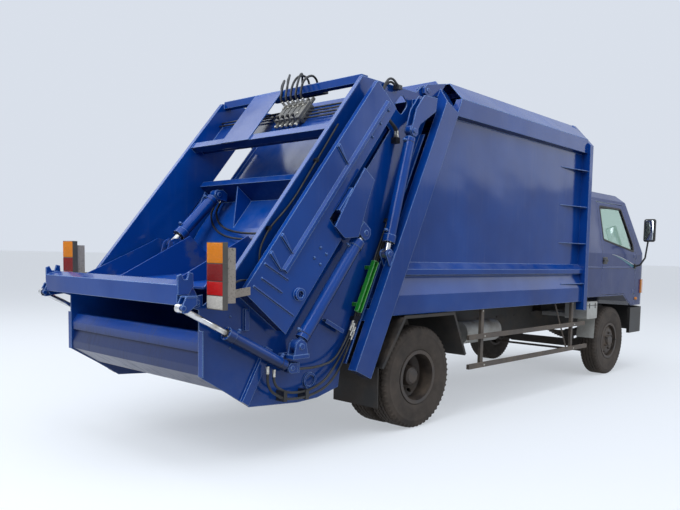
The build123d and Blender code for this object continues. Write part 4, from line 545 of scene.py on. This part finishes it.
# Safety props: folded channels in bright green enamel that hold up the raised tailgate, stowed on
# its columns and held at both ends by plated bolts.
# the pale green third colour is the painted edge highlight
coat(enamel("green_enamel", "#2fae35", "#23962b", "#a9dca8", "#7f9a70", 0.4, 0.25), "safety_props")
bolts = ([], [])
for side in (-1, 1):
    for z in (1040, 1315):
        turned(bolts, [(0, 9), (1, 11), (8, 11), (9.5, 9)], at(behind_mouth(z, 96), side * 916.3, z),
               across * side, 6)
piece("prop_bolts", bolts, zinc, "tailgate")


# Structure bolts: heads with washers, painted over with the body, where the tailgate's fittings are
# bolted, each on the face that it clamps.
def bolt(mesh, where, out, size=9):
    """Hexagon head on its washer."""
    turned(mesh, [(0, size * 1.25), (1.6, size * 1.25)], where, out, 16)
    turned(mesh, [(1.6, size * 0.85), (2.4, size), (size * 0.8, size), (size * 0.9, size * 0.8)], where,
           out, 6)


bolts = ([], [])
for side in (-1, 1):
    for s, p in ((1300, 410), (1300, 480), (1390, 410), (1390, 480), (60, 300), (200, 300), (340, 300)):
        bolt(bolts, on_gate(s, p, side * 970), across * side)
    for x, z in ((-1760, 1000), (-1760, 900), (-1760, 800), (-1500, 1010), (-1360, 1010)):
        bolt(bolts, at(x, side * 860, z), across * side, 7)
piece("tailgate_bolts", bolts, blue_enamel, "tailgate")


# Tyres: light-truck radials with four zigzag grooves and cut shoulders, a scuff rib and bead rings
# on the sidewall, grey-brown with dust in clouds.
# matt black rubber under a cake of dust, with grain of about 5 mm, coarser than the real one to show
tyre_rubber, tree, shader = material("tyre_rubber", Roughness=0.85)
place = add(tree, "ShaderNodeTexCoord").outputs["Object"]
cloud = add(tree, "ShaderNodeTexNoise", {"Vector": place, "Scale": 5, "Detail": 9, "Roughness": 0.62})
cake = add(tree, "ShaderNodeMapRange", {"Value": cloud, "From Min": 0.34, "From Max": 0.7,
                                        "To Min": 0.25, "To Max": 0.85})
tint = add(tree, "ShaderNodeMixRGB", {"Fac": cake, "Color1": "#1c1a19", "Color2": "#5a5048"})
sand = add(tree, "ShaderNodeTexNoise", {"Vector": place, "Scale": 210, "Detail": 3})
sand = add(tree, "ShaderNodeBump", {"Height": sand, "Strength": 0.5, "Distance": 0.0008})
feed(shader, {"Base Color": tint, "Normal": sand})

SIDEWALL = [  # mm from the tyre's middle plane and from its axle, from the bead to the shoulder
    (86, 205), (86, 226), (92, 228), (94, 236), (98, 248), (101, 265), (103, 300), (103.6, 330),
    (102.6, 352), (104, 356), (104, 362), (102, 366), (100, 385)]
PITCHES = 56
ZIGZAG = (3.4, 3.4, 0, -3.4, -3.4, 0)
SHOULDER_CUT = 9


def tread(name, node, body, middle):
    """One tyre at its middle y, inside its solid's outer form."""
    low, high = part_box(node)
    centre_x, centre_z = (low[0] + high[0]) / 2 * 1000, (low[2] + high[2]) / 2 * 1000
    steps = len(ZIGZAG)
    rings = []
    for k in range(PITCHES * steps):
        turn = 2 * pi * k / (PITCHES * steps)
        swing = ZIGZAG[k % steps]
        # the shoulders are cut in turn, one side and then the other
        cut = SHOULDER_CUT if k % steps in (2, 3) else 0
        back = SHOULDER_CUT - cut
        ring = SIDEWALL + [(98 - cut / 4, 396), (93 - cut / 3, 411 - cut), (84, 417.5 - cut),
                           (74 + swing, 419 - cut / 3)]
        for groove in (58, 20, -20, -58):
            ring += [(groove + 6 + swing, 419.5), (groove + 3.5 + swing, 409),
                     (groove - 3.5 + swing, 409), (groove - 6 + swing, 419.5)]
        ring += [(-74 + swing, 419 - back / 3), (-84, 417.5 - back), (-93 + back / 3, 411 - back),
                 (-98 + back / 4, 396)]
        ring += [(-y, r) for y, r in SIDEWALL[::-1]]
        rings.append([Vector(((centre_x + r * cos(turn)) / 1000, (middle + y) / 1000,
                              (centre_z + r * sin(turn)) / 1000)) for y, r in ring])
    mesh = ([], [])
    skin(mesh, rings + rings[:1], True, False)
    made = piece(name, mesh, tyre_rubber, body, 30)
    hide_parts(node)


for name, side in (("left", 1), ("right", -1)):
    tread("tread_front_" + name, "tyre_front_" + name, "wheel_front_" + name, side * 829)
    for place, middle in (("outer", 883), ("inner", 638)):
        tread("tread_rear_" + place + "_" + name, "tyres_rear_" + name, "wheels_rear_" + name,
              side * middle)


# Wheels: pressed steel discs in dusty dark paint, held to cast hubs by six hexagon nuts on studs,
# with a rubber valve stem; the twin rear wheels share one set of nuts.
FRONT_AXLE = 3850
AXLE_HEIGHT = 420
rim_paint = cast("rim_paint", "#3a3431", "#6b5d50", 0.85, 0.5, 0.0003)
hub_iron = cast("hub_iron", "#2e2826", "#5f5246", 0.8, 0.55)
for name, side in (("left", 1), ("right", -1)):
    coat(rim_paint, "rim_front_" + name, "rims_rear_" + name)
    for axle, x, face, ring, body in (("front", FRONT_AXLE, 913, 95, "wheel_front_"),
                                      ("rear", 0, 780.5, 119, "wheels_rear_")):
        nuts, stem = ([], []), ([], [])
        for turn in range(30, 390, 60):
            dx, dz = ring * cos(radians(turn)), ring * sin(radians(turn))
            nut = at(x + dx, side * face, AXLE_HEIGHT + dz)
            turned(nuts, [(0, 13), (2, 14), (14, 14), (17, 12)], nut, across * side, 6)
            turned(nuts, [(16, 7), (26, 7), (28, 5)], nut, across * side, 10)
        turned(stem, [(0, 5), (20, 5), (22, 3), (38, 3), (39, 4.5), (46, 4.5)],
               at(x + 178, side * (face - 14), AXLE_HEIGHT), across * side + Vector((-0.2, 0, 0)), 10)
        piece("nuts_" + axle + "_" + name, nuts, hub_iron, body + name)
        piece("valve_stem_" + axle + "_" + name, stem, seal_rubber, body + name)


# Chassis, axles, springs and driveline: ladder frame of folded channels in black paint, with bolted
# cross members, and iron castings and forgings below it, all under brown road dust.
chassis_paint = cast("chassis_paint", "#1b1a19", "#5f564c", 0.75, 0.5)
cast_iron = cast("cast_iron", "#262220", "#5d5145", 0.85, 0.65, 0.001)
coat(chassis_paint, "chassis_frame")
coat(cast_iron, "front_axle", "rear_axle", "driveline", "knuckle_left", "knuckle_right", "tie_rod")
bolts = ([], [])
for side in (-1, 1):
    for x in range(-450, 3200, 365):
        for z in (765, 895):
            bolt(bolts, at(x, side * 375, z), across * side, 7)
piece("chassis_bolts", bolts, cast_iron, "chassis")


# Fuel tank, air tank and battery box: painted sheet on brackets, stained by splashes from the wheel
# before them; the tank has a moulded filler cap, and two rubber toggles hold down the box's lid.
coat(cast("tank_paint", "#3b3d40", "#7a7064", 0.6, 0.35, 0.0002), "fuel_tank")
coat(cast("box_paint", "#c9cbc8", "#8b8073", 0.7, 0.4, 0.0002), "battery_box")
trim = ([], [])
lip = ((3072, -981.5), (3358, -981.5), (3358, -979), (3072, -979))
skin(trim, [[at(x, y, z) for x, y in lip] for z in (884, 890)])
piece("battery_lid_gap", trim, seal_rubber, "chassis")
toggles = ([], [])
for x in (3140, 3290):
    for z in (905, 862):
        turned(toggles, [(0, 7), (1.5, 9), (4, 9), (5, 6)], at(x, -980, z), -across, 12)
    skin(toggles, [[at(x + d, -981, z), at(x + d, -984.5, z), at(x - d, -984.5, z), at(x - d, -981, z)]
                   for z, d in ((860, 4), (872, 5.5), (895, 5.5), (907, 4))])
piece("battery_toggles", toggles, seal_rubber, "chassis")
cap = ([], [])
turned(cap, [(0, 34), (2, 36), (12, 36), (16, 32), (18, 20)], at(2080, 690, 822), Vector((0, 0, 1)), 24)
piece("fuel_cap", cap, knob_plastic, "chassis")


# Side guards and mudguards: square tube in faded grey-brown paint, black moulded wheel arches with
# hanging rubber flaps, all under the dust that the wheels throw up.
coat(cast("guard_paint", "#514a45", "#8a7d70", 0.75, 0.55, 0.0003), "side_guards")
coat(cast("mudguard_plastic", "#151414", "#5a4f45", 0.55, 0.6, 0.0004), "rear_fenders")
bolts = ([], [])
for side in (-1, 1):
    for x in (940, 2735):
        for y, z in ((1000, 427), (1000, 693), (970, 925)):
            bolt(bolts, at(x, side * y, z), across * side, 7)
piece("guard_bolts", bolts, zinc, "chassis")


# Cab: pressed panels in violet-blue enamel, cleaner than the body behind it. A swage runs below the
# belt, and every pane sits in a black rubber seal that laps over the sheet.
# the pale third colour is the painted edge highlight
cab_enamel = enamel("cab_enamel", "#384a86", "#2f3f77", "#8794c2", "#9093a0", 0.4, 0.14)
coat(cab_enamel, "cab_shell", "cab_roof", "cab_front", "door_left", "door_right")


def on_wall(side):
    """Places on the cab's side, x from the front axle: upright to the belt, then leaning in."""
    half, belt, lean = 985, 1500, 0.1818
    return lambda x, z, out=0: at(FRONT_AXLE + x, side * (half - max(0, z - belt) * lean + out), z)


SCREEN_OUT = Vector((0.863, 0, 0.505))


def on_screen(y, z, out=0):
    """Places on the plane of the windscreen."""
    foot_x, foot_z, lean = 4700, 1450, 0.5857
    return at(foot_x - (z - foot_z) * lean, y, z) + SCREEN_OUT * out / 1000


def on_back(y, z, out=0):
    """Places on the cab's rear wall."""
    wall_x = 3030
    return at(wall_x - out, y, z)


def rounded(corners, radius, steps=5):
    """Closed outline with its corners rounded."""
    soft = []
    for k, corner in enumerate(corners):
        here = Vector(corner)
        before, after = Vector(corners[k - 1]) - here, Vector(corners[(k + 1) % len(corners)]) - here
        start, end = here + before.normalized() * radius, here + after.normalized() * radius
        for i in range(steps + 1):
            t = i / steps
            soft.append(start * (1 - t) ** 2 + here * 2 * t * (1 - t) + end * t ** 2)
    return soft


def offset(outline, aside):
    """The outline moved outwards by a distance."""
    count = len(outline)
    turn = sum(a.x * b.y - b.x * a.y for a, b in zip(outline, outline[1:] + outline[:1]))
    hand = 1 if turn > 0 else -1
    moved = []
    for k, here in enumerate(outline):
        into, out_of = here - outline[k - 1], outline[(k + 1) % count] - here
        n1, n2 = [Vector((d.y, -d.x)).normalized() * hand for d in (into, out_of)]
        moved.append(here + (n1 + n2) * aside / (1 + n1.dot(n2)))
    return moved


def hoop(mesh, outline, place, profile):
    """Closed hoop along an outline; its profile is (aside, out) pairs."""
    tracks = [[place(*p, out) for p in offset(outline, aside)] for aside, out in profile]
    rings = [list(ring) for ring in zip(*tracks)]
    skin(mesh, rings + rings[:1], True, False)


def seal(mesh, corners, radius, place):
    """Rubber seal round a pane: it lies on the glass, fills the gap and laps over the sheet."""
    hoop(mesh, rounded(corners, radius), place, [
        (-13, -11.4), (-14, -6), (-11, 1.5), (-7, 3.4), (3, 4), (10, 3.2), (14, 0.4), (-0.6, 0.4),
        (-0.6, -11.4)])


def plate(mesh, outline, place, low, high, edge=1.5):
    """Flat plate with a rounded edge between two heights over a surface."""
    skin(mesh, [[place(*p, out) for p in offset(outline, aside)]
                for aside, out in ((-edge, low), (0, low + 0.01), (0, high - edge * 0.7), (-edge, high))])


door_pane = [(-350, 1665), (-350, 2060), (275, 2060), (520, 1620), (520, 1540)]
for name, side, body in (("left", 1, "door_l"), ("right", -1, "door_r")):
    wall = on_wall(side)
    rubber = ([], [])
    seal(rubber, door_pane, 26, wall)
    piece("door_pane_seal_" + name, rubber, seal_rubber, body)

    # swage of the door and of the cab behind it, rolled out of the sheet
    for label, low, high, rides in (("door", -414, 576, body), ("cab", -800, -427, "cab")):
        roll = ([], [])
        rings = []
        for k in range(25):
            x = low + (high - low) * k / 24
            rise = min(1, k / 2, (24 - k) / 2) if label == "door" else min(1, k / 2)
            rings.append([wall(x, 1330 + z, out * rise + 0.05) for z, out in
                          ((16, 0), (10, 1.2), (4, 4), (0, 5), (-5, 5), (-7, 4), (-8, 0))])
        skin(roll, rings)
        piece("swage_" + label + "_" + name, roll, cab_enamel, rides, 50)

    # moulded recess plate and grip of the door handle
    grip = ([], [])
    plate(grip, rounded([(-414, 1372), (-284, 1372), (-284, 1456), (-414, 1456)], 16), wall, 0.1, 3)
    rings = []
    for k in range(13):
        x = -404 + 110 * k / 12
        thick = 1 if 0 < k < 12 else 0.7
        rings.append([wall(x, 1414 + z * thick, out) for z, out in
                      ((-16, 3), (-16, 14), (-12, 18), (12, 18), (16, 14), (16, 3))])
    skin(grip, rings)
    turned(grip, [(0, 11), (3, 11), (4, 9), (4, 4), (3, 3.5)], wall(-392, 1388, 3), across * side, 20)
    piece("door_handle_" + name, grip, knob_plastic, body)

rubber = ([], [])
seal(rubber, [(-850, 1500), (850, 1500), (790, 2110), (-790, 2110)], 34, on_screen)
seal(rubber, [(-600, 1600), (600, 1600), (560, 2040), (-560, 2040)], 34, on_back)
piece("cab_pane_seals", rubber, seal_rubber, "cab")


# Door stripes: smooth calendered vinyl, cut and laid on the paint, one white and one sea-green band
# that fall and widen forward under the windows.
def vinyl(name, colour):
    """Smooth calendered film with a little dust."""
    made, tree, shader = material(name, Roughness=0.3)
    place = add(tree, "ShaderNodeTexCoord").outputs["Object"]
    film = add(tree, "ShaderNodeTexNoise", {"Vector": place, "Scale": 12, "Detail": 6})
    film = add(tree, "ShaderNodeMapRange", {"Value": film, "From Min": 0.4, "From Max": 0.75,
                                            "To Max": 0.3})
    tint = add(tree, "ShaderNodeMixRGB", {"Fac": film, "Color1": colour, "Color2": "#9a9ca0"})
    feed(shader, {"Base Color": tint})
    return made


white_vinyl, green_vinyl = vinyl("white_vinyl", "#e3e8ea"), vinyl("green_vinyl", "#4f8f9c")
for name, side, body in (("left", 1, "door_l"), ("right", -1, "door_r")):
    wall = on_wall(side)
    for label, film, upper, lower in (("white", white_vinyl, (0, 0), (3, 9)),
                                      ("green", green_vinyl, (6, 20), (7, 58))):
        band = ([], [])
        rings = []
        for k in range(31):
            t = k / 30
            x = -150 + 715 * t
            middle = 1492 - 128 * t ** 1.4
            top = middle - upper[0] - (upper[1] - upper[0]) * t
            foot = middle - lower[0] - (lower[1] - lower[0]) * t ** 1.2 - 0.5
            rings.append([wall(x, z, out) for z, out in ((top, 0.1), (top, 0.9), (foot, 0.9), (foot, 0.1))])
        skin(band, rings)
        piece("stripe_" + label + "_" + name, band, film, body)


# Window glass: tempered panes set in the rubber seals, faintly green and clear, blurred a little where
# a thin film of dust lies on them.
pane_glass, tree, shader = material("window_glass", IOR=1.5, Transmission_Weight=1.0)
place = add(tree, "ShaderNodeTexCoord").outputs["Object"]
film = add(tree, "ShaderNodeTexNoise", {"Vector": place, "Scale": 6, "Detail": 8})
dull = add(tree, "ShaderNodeMapRange", {"Value": film, "From Min": 0.45, "From Max": 0.9, "To Max": 0.12})
tint = add(tree, "ShaderNodeMixRGB", {"Fac": dull, "Color1": "#d5e8dd", "Color2": "#e6ebe8"})
feed(shader, {"Base Color": tint, "Roughness": dull})
coat(pane_glass, "cab_glass", "door_glass_left", "door_glass_right")


# Wipers: two black arms on round spindle caps below the windscreen, each pressing a jointed blade
# with a rubber lip on the glass.
def rod(mesh, path, radius, steps=8):
    """Round bar through the points of a path."""
    rings = []
    for k, here in enumerate(path):
        line = (path[min(k + 1, len(path) - 1)] - path[max(k - 1, 0)]).normalized()
        side = line.orthogonal().normalized()
        if abs(line.y) < 0.9:
            side = (across - line * line.y).normalized()
        other = line.cross(side)
        angles = [2 * pi * i / steps for i in range(steps)]
        rings.append([here + (side * cos(a) + other * sin(a)) * radius / 1000 for a in angles])
    skin(mesh, rings)


arms, blades = ([], []), ([], [])
for foot in (-560, 150):
    hold = foot + 210
    turned(arms, [(0, 14), (6, 14), (9, 11), (22, 11), (26, 7)], on_screen(foot, 1462, 0.2), SCREEN_OUT, 14)
    rod(arms, [on_screen(foot, 1462, 18), on_screen(foot + 40, 1500, 26), on_screen(hold, 1600, 18)], 5)
    rod(blades, [on_screen(foot - 30, 1530, 6), on_screen(hold, 1600, 7), on_screen(foot + 430, 1664, 6)],
        3.4)
    for t in (-160, -60, 60, 160):
        rod(blades, [on_screen(hold + t, 1600 + t * 0.2917, 7),
                     on_screen(hold + t * 0.8, 1600 + t * 0.2333, 16)], 3)
    rod(blades, [on_screen(foot + 70, 1559, 16), on_screen(hold, 1600, 19),
                 on_screen(foot + 350, 1641, 16)], 3.6)
piece("wiper_arms", arms, knob_plastic, "cab")
piece("wiper_blades", blades, seal_rubber, "cab")


# Nose: black moulded grille and bumper, ribbed headlamp glass, amber corner lamps and small amber
# markers on the cab's flanks.
coat(cast("nose_plastic", "#131415", "#5d5750", 0.35, 0.42, 0.0002), "front_bumper", "grille")
# ribbed glass, grey-white over the lamps and amber past the corner, with flutes about 9 mm apart
lamp_glass, tree, shader = material("lamp_glass", Roughness=0.08, IOR=1.5, Coat_Weight=0.7)
place = add(tree, "ShaderNodeTexCoord").outputs["Object"]
apart = add(tree, "ShaderNodeSeparateXYZ", {0: place})
corner_y = 0.7185
wide = add(tree, "ShaderNodeMath", {0: apart.outputs["Y"]}, operation="ABSOLUTE")
wide = add(tree, "ShaderNodeMath", {0: wide, 1: corner_y}, operation="GREATER_THAN")
flutes = add(tree, "ShaderNodeTexWave", {"Vector": place, "Scale": 34}, bands_direction="Y")
clear = add(tree, "ShaderNodeMixRGB", {"Fac": flutes.outputs["Fac"], "Color1": "#8f9598",
                                       "Color2": "#dfe3e4"})
amber = add(tree, "ShaderNodeMixRGB", {"Fac": flutes.outputs["Fac"], "Color1": "#c9680a",
                                       "Color2": "#f59612"})
tint = add(tree, "ShaderNodeMixRGB", {"Fac": wide, "Color1": clear, "Color2": amber})
cut = add(tree, "ShaderNodeBump", {"Height": flutes.outputs["Fac"], "Strength": 0.5, "Distance": 0.002})
feed(shader, {"Base Color": tint, "Normal": cut})
coat(lamp_glass, "front_lamps")
oval = [(34 * cos(pi * i / 12), 19 * sin(pi * i / 12)) for i in range(24)]
for name, side in (("left", 1), ("right", -1)):
    marker = ([], [])
    wall = on_wall(side)
    skin(marker, [[wall(628 + x * s, 931 + z * s, out) for x, z in oval]
                  for s, out in ((1, 0.1), (1, 8), (0.95, 13), (0.82, 16), (0.4, 18))])
    piece("side_marker_" + name, marker, bpy.data.materials["lens_amber"], "cab")


# Mirrors: moulded black heads on tube arms, each with a silvered pane held in a lip on its rear face.
# The glass is a clear mirror, a little dull in clouds of dust.
def on_head(side):
    """Places on the rear face of a mirror's head, from its middle."""
    return lambda y, z, out=0: at(4367 - out, side * (1163 + y), 1810 + z)


mirror_plastic = cast("mirror_plastic", "#0f1011", "#4e4a45", 0.3, 0.35, 0.0002)
coat(mirror_plastic, "mirror_left", "mirror_right")
silvered, tree, shader = material("silvered_glass", Metallic=1.0)
place = add(tree, "ShaderNodeTexCoord").outputs["Object"]
film = add(tree, "ShaderNodeTexNoise", {"Vector": place, "Scale": 30, "Detail": 6})
dull = add(tree, "ShaderNodeMapRange", {"Value": film, "From Min": 0.45, "From Max": 0.85,
                                        "To Min": 0.02, "To Max": 0.2})
tint = add(tree, "ShaderNodeMixRGB", {"Fac": dull, "Color1": "#c9ced2", "Color2": "#a7a9a8"})
feed(shader, {"Base Color": tint, "Roughness": dull})
outline = rounded([(-60, -128), (60, -128), (60, 128), (-60, 128)], 26)
for name, side, body in (("left", 1, "door_l"), ("right", -1, "door_r")):
    pane, rim = ([], []), ([], [])
    plate(pane, outline, on_head(side), 0.2, 2.2, 1)
    hoop(rim, outline, on_head(side), ((-3, 0.3), (-3, 3.4), (2, 4.4), (5, 3), (5, 0.3)))
    piece("mirror_pane_" + name, pane, silvered, body)
    piece("mirror_rim_" + name, rim, mirror_plastic, body)


# Cabin: grained dark plastic on the dashboard, and crowned foam seats under stitched vinyl, with sewn
# channels along each pad and a seam across it near both ends.
coat(cast("cabin_plastic", "#26272a", "#4c4b49", 0.3, 0.55, 0.0004), "cabin_trim")
# dark vinyl with a soft sheen and a pressed leather grain of about 3 mm
seat_vinyl, tree, shader = material("seat_vinyl", Roughness=0.5)
place = add(tree, "ShaderNodeTexCoord").outputs["Object"]
grain = add(tree, "ShaderNodeTexVoronoi", {"Vector": place, "Scale": 330})
worn = add(tree, "ShaderNodeTexNoise", {"Vector": place, "Scale": 5, "Detail": 6})
tint = add(tree, "ShaderNodeMixRGB", {"Fac": worn, "Color1": "#2b2c30", "Color2": "#47474a"})
leather = add(tree, "ShaderNodeBump", {"Height": grain.outputs["Distance"], "Strength": 0.4,
                                       "Distance": 0.0008})
feed(shader, {"Base Color": tint, "Normal": leather})


def cushion(name, middle, ahead, up, half, channels):
    """Crowned closed pad: half sizes across, ahead and up in mm, channels across its top."""
    ahead, up = ahead.normalized(), up.normalized()
    squareness = 7

    def shape(x, y, z):
        """Point of the cube -1 to 1 drawn to the pad."""
        size = (abs(x) ** squareness + abs(y) ** squareness + abs(z) ** squareness) ** (1 / squareness)
        x, y, z = x / size, y / size, z / size
        crown = 1 + 0.16 * (1 - x * x) * (1 - y * y)
        pulled = 1 - 0.05 * (1 - abs(z)) - 0.025 * (1 - y * y)
        wide = half[0] * x * pulled
        deep = half[1] * y * (1 - 0.03 * (1 - x * x))
        tall = half[2] * z * 0.86
        if z > 0:
            tall *= crown
            tall -= sum(7 * exp(-((wide - place) / 7) ** 2) for place in channels) * max(0, 1 - abs(y) ** 4)
            tall -= 5 * exp(-((abs(y) - 0.8) * half[1] / 7) ** 2) * (1 - x ** 8)
        return middle + (across * wide + ahead * deep + up * tall) / 1000

    # six gridded faces of the cube, welded
    points, faces = [], []
    count = 22
    ticks = [-1 + 2 * i / count for i in range(count + 1)]
    for axis in range(3):
        for sign in (-1, 1):
            start = len(points)
            for a in ticks:
                for b in ticks:
                    spot = [a, b]
                    spot.insert(axis, sign)
                    points.append(tuple(shape(*spot)))
            for i in range(count):
                for j in range(count):
                    k = start + i * (count + 1) + j
                    faces.append((k, k + 1, k + count + 2, k + count + 1))
    made = piece(name, (points, faces), seat_vinyl, "cab", 60)
    work = bmesh.new()
    work.from_mesh(made.data)
    bmesh.ops.remove_doubles(work, verts=work.verts, dist=0.0002)
    bmesh.ops.recalc_face_normals(work, faces=work.faces)
    work.to_mesh(made.data)
    work.free()
    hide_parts("seat_pads")


for label, y, width, lines in (("driver", 500, 480, (-75, 0, 75)),
                               ("bench", -430, 780, (-195, -75, 75, 195))):
    cushion("seat_base_" + label, at(3666, y, 1305), Vector((1, 0, 0)), Vector((0, 0, 1)),
            (width / 2, 252, 64), lines)
    cushion("seat_back_" + label, at(3295, y, 1600), Vector((-0.15, 0, 1)), Vector((1, 0, 0.15)),
            (width / 2, 355, 57), lines)
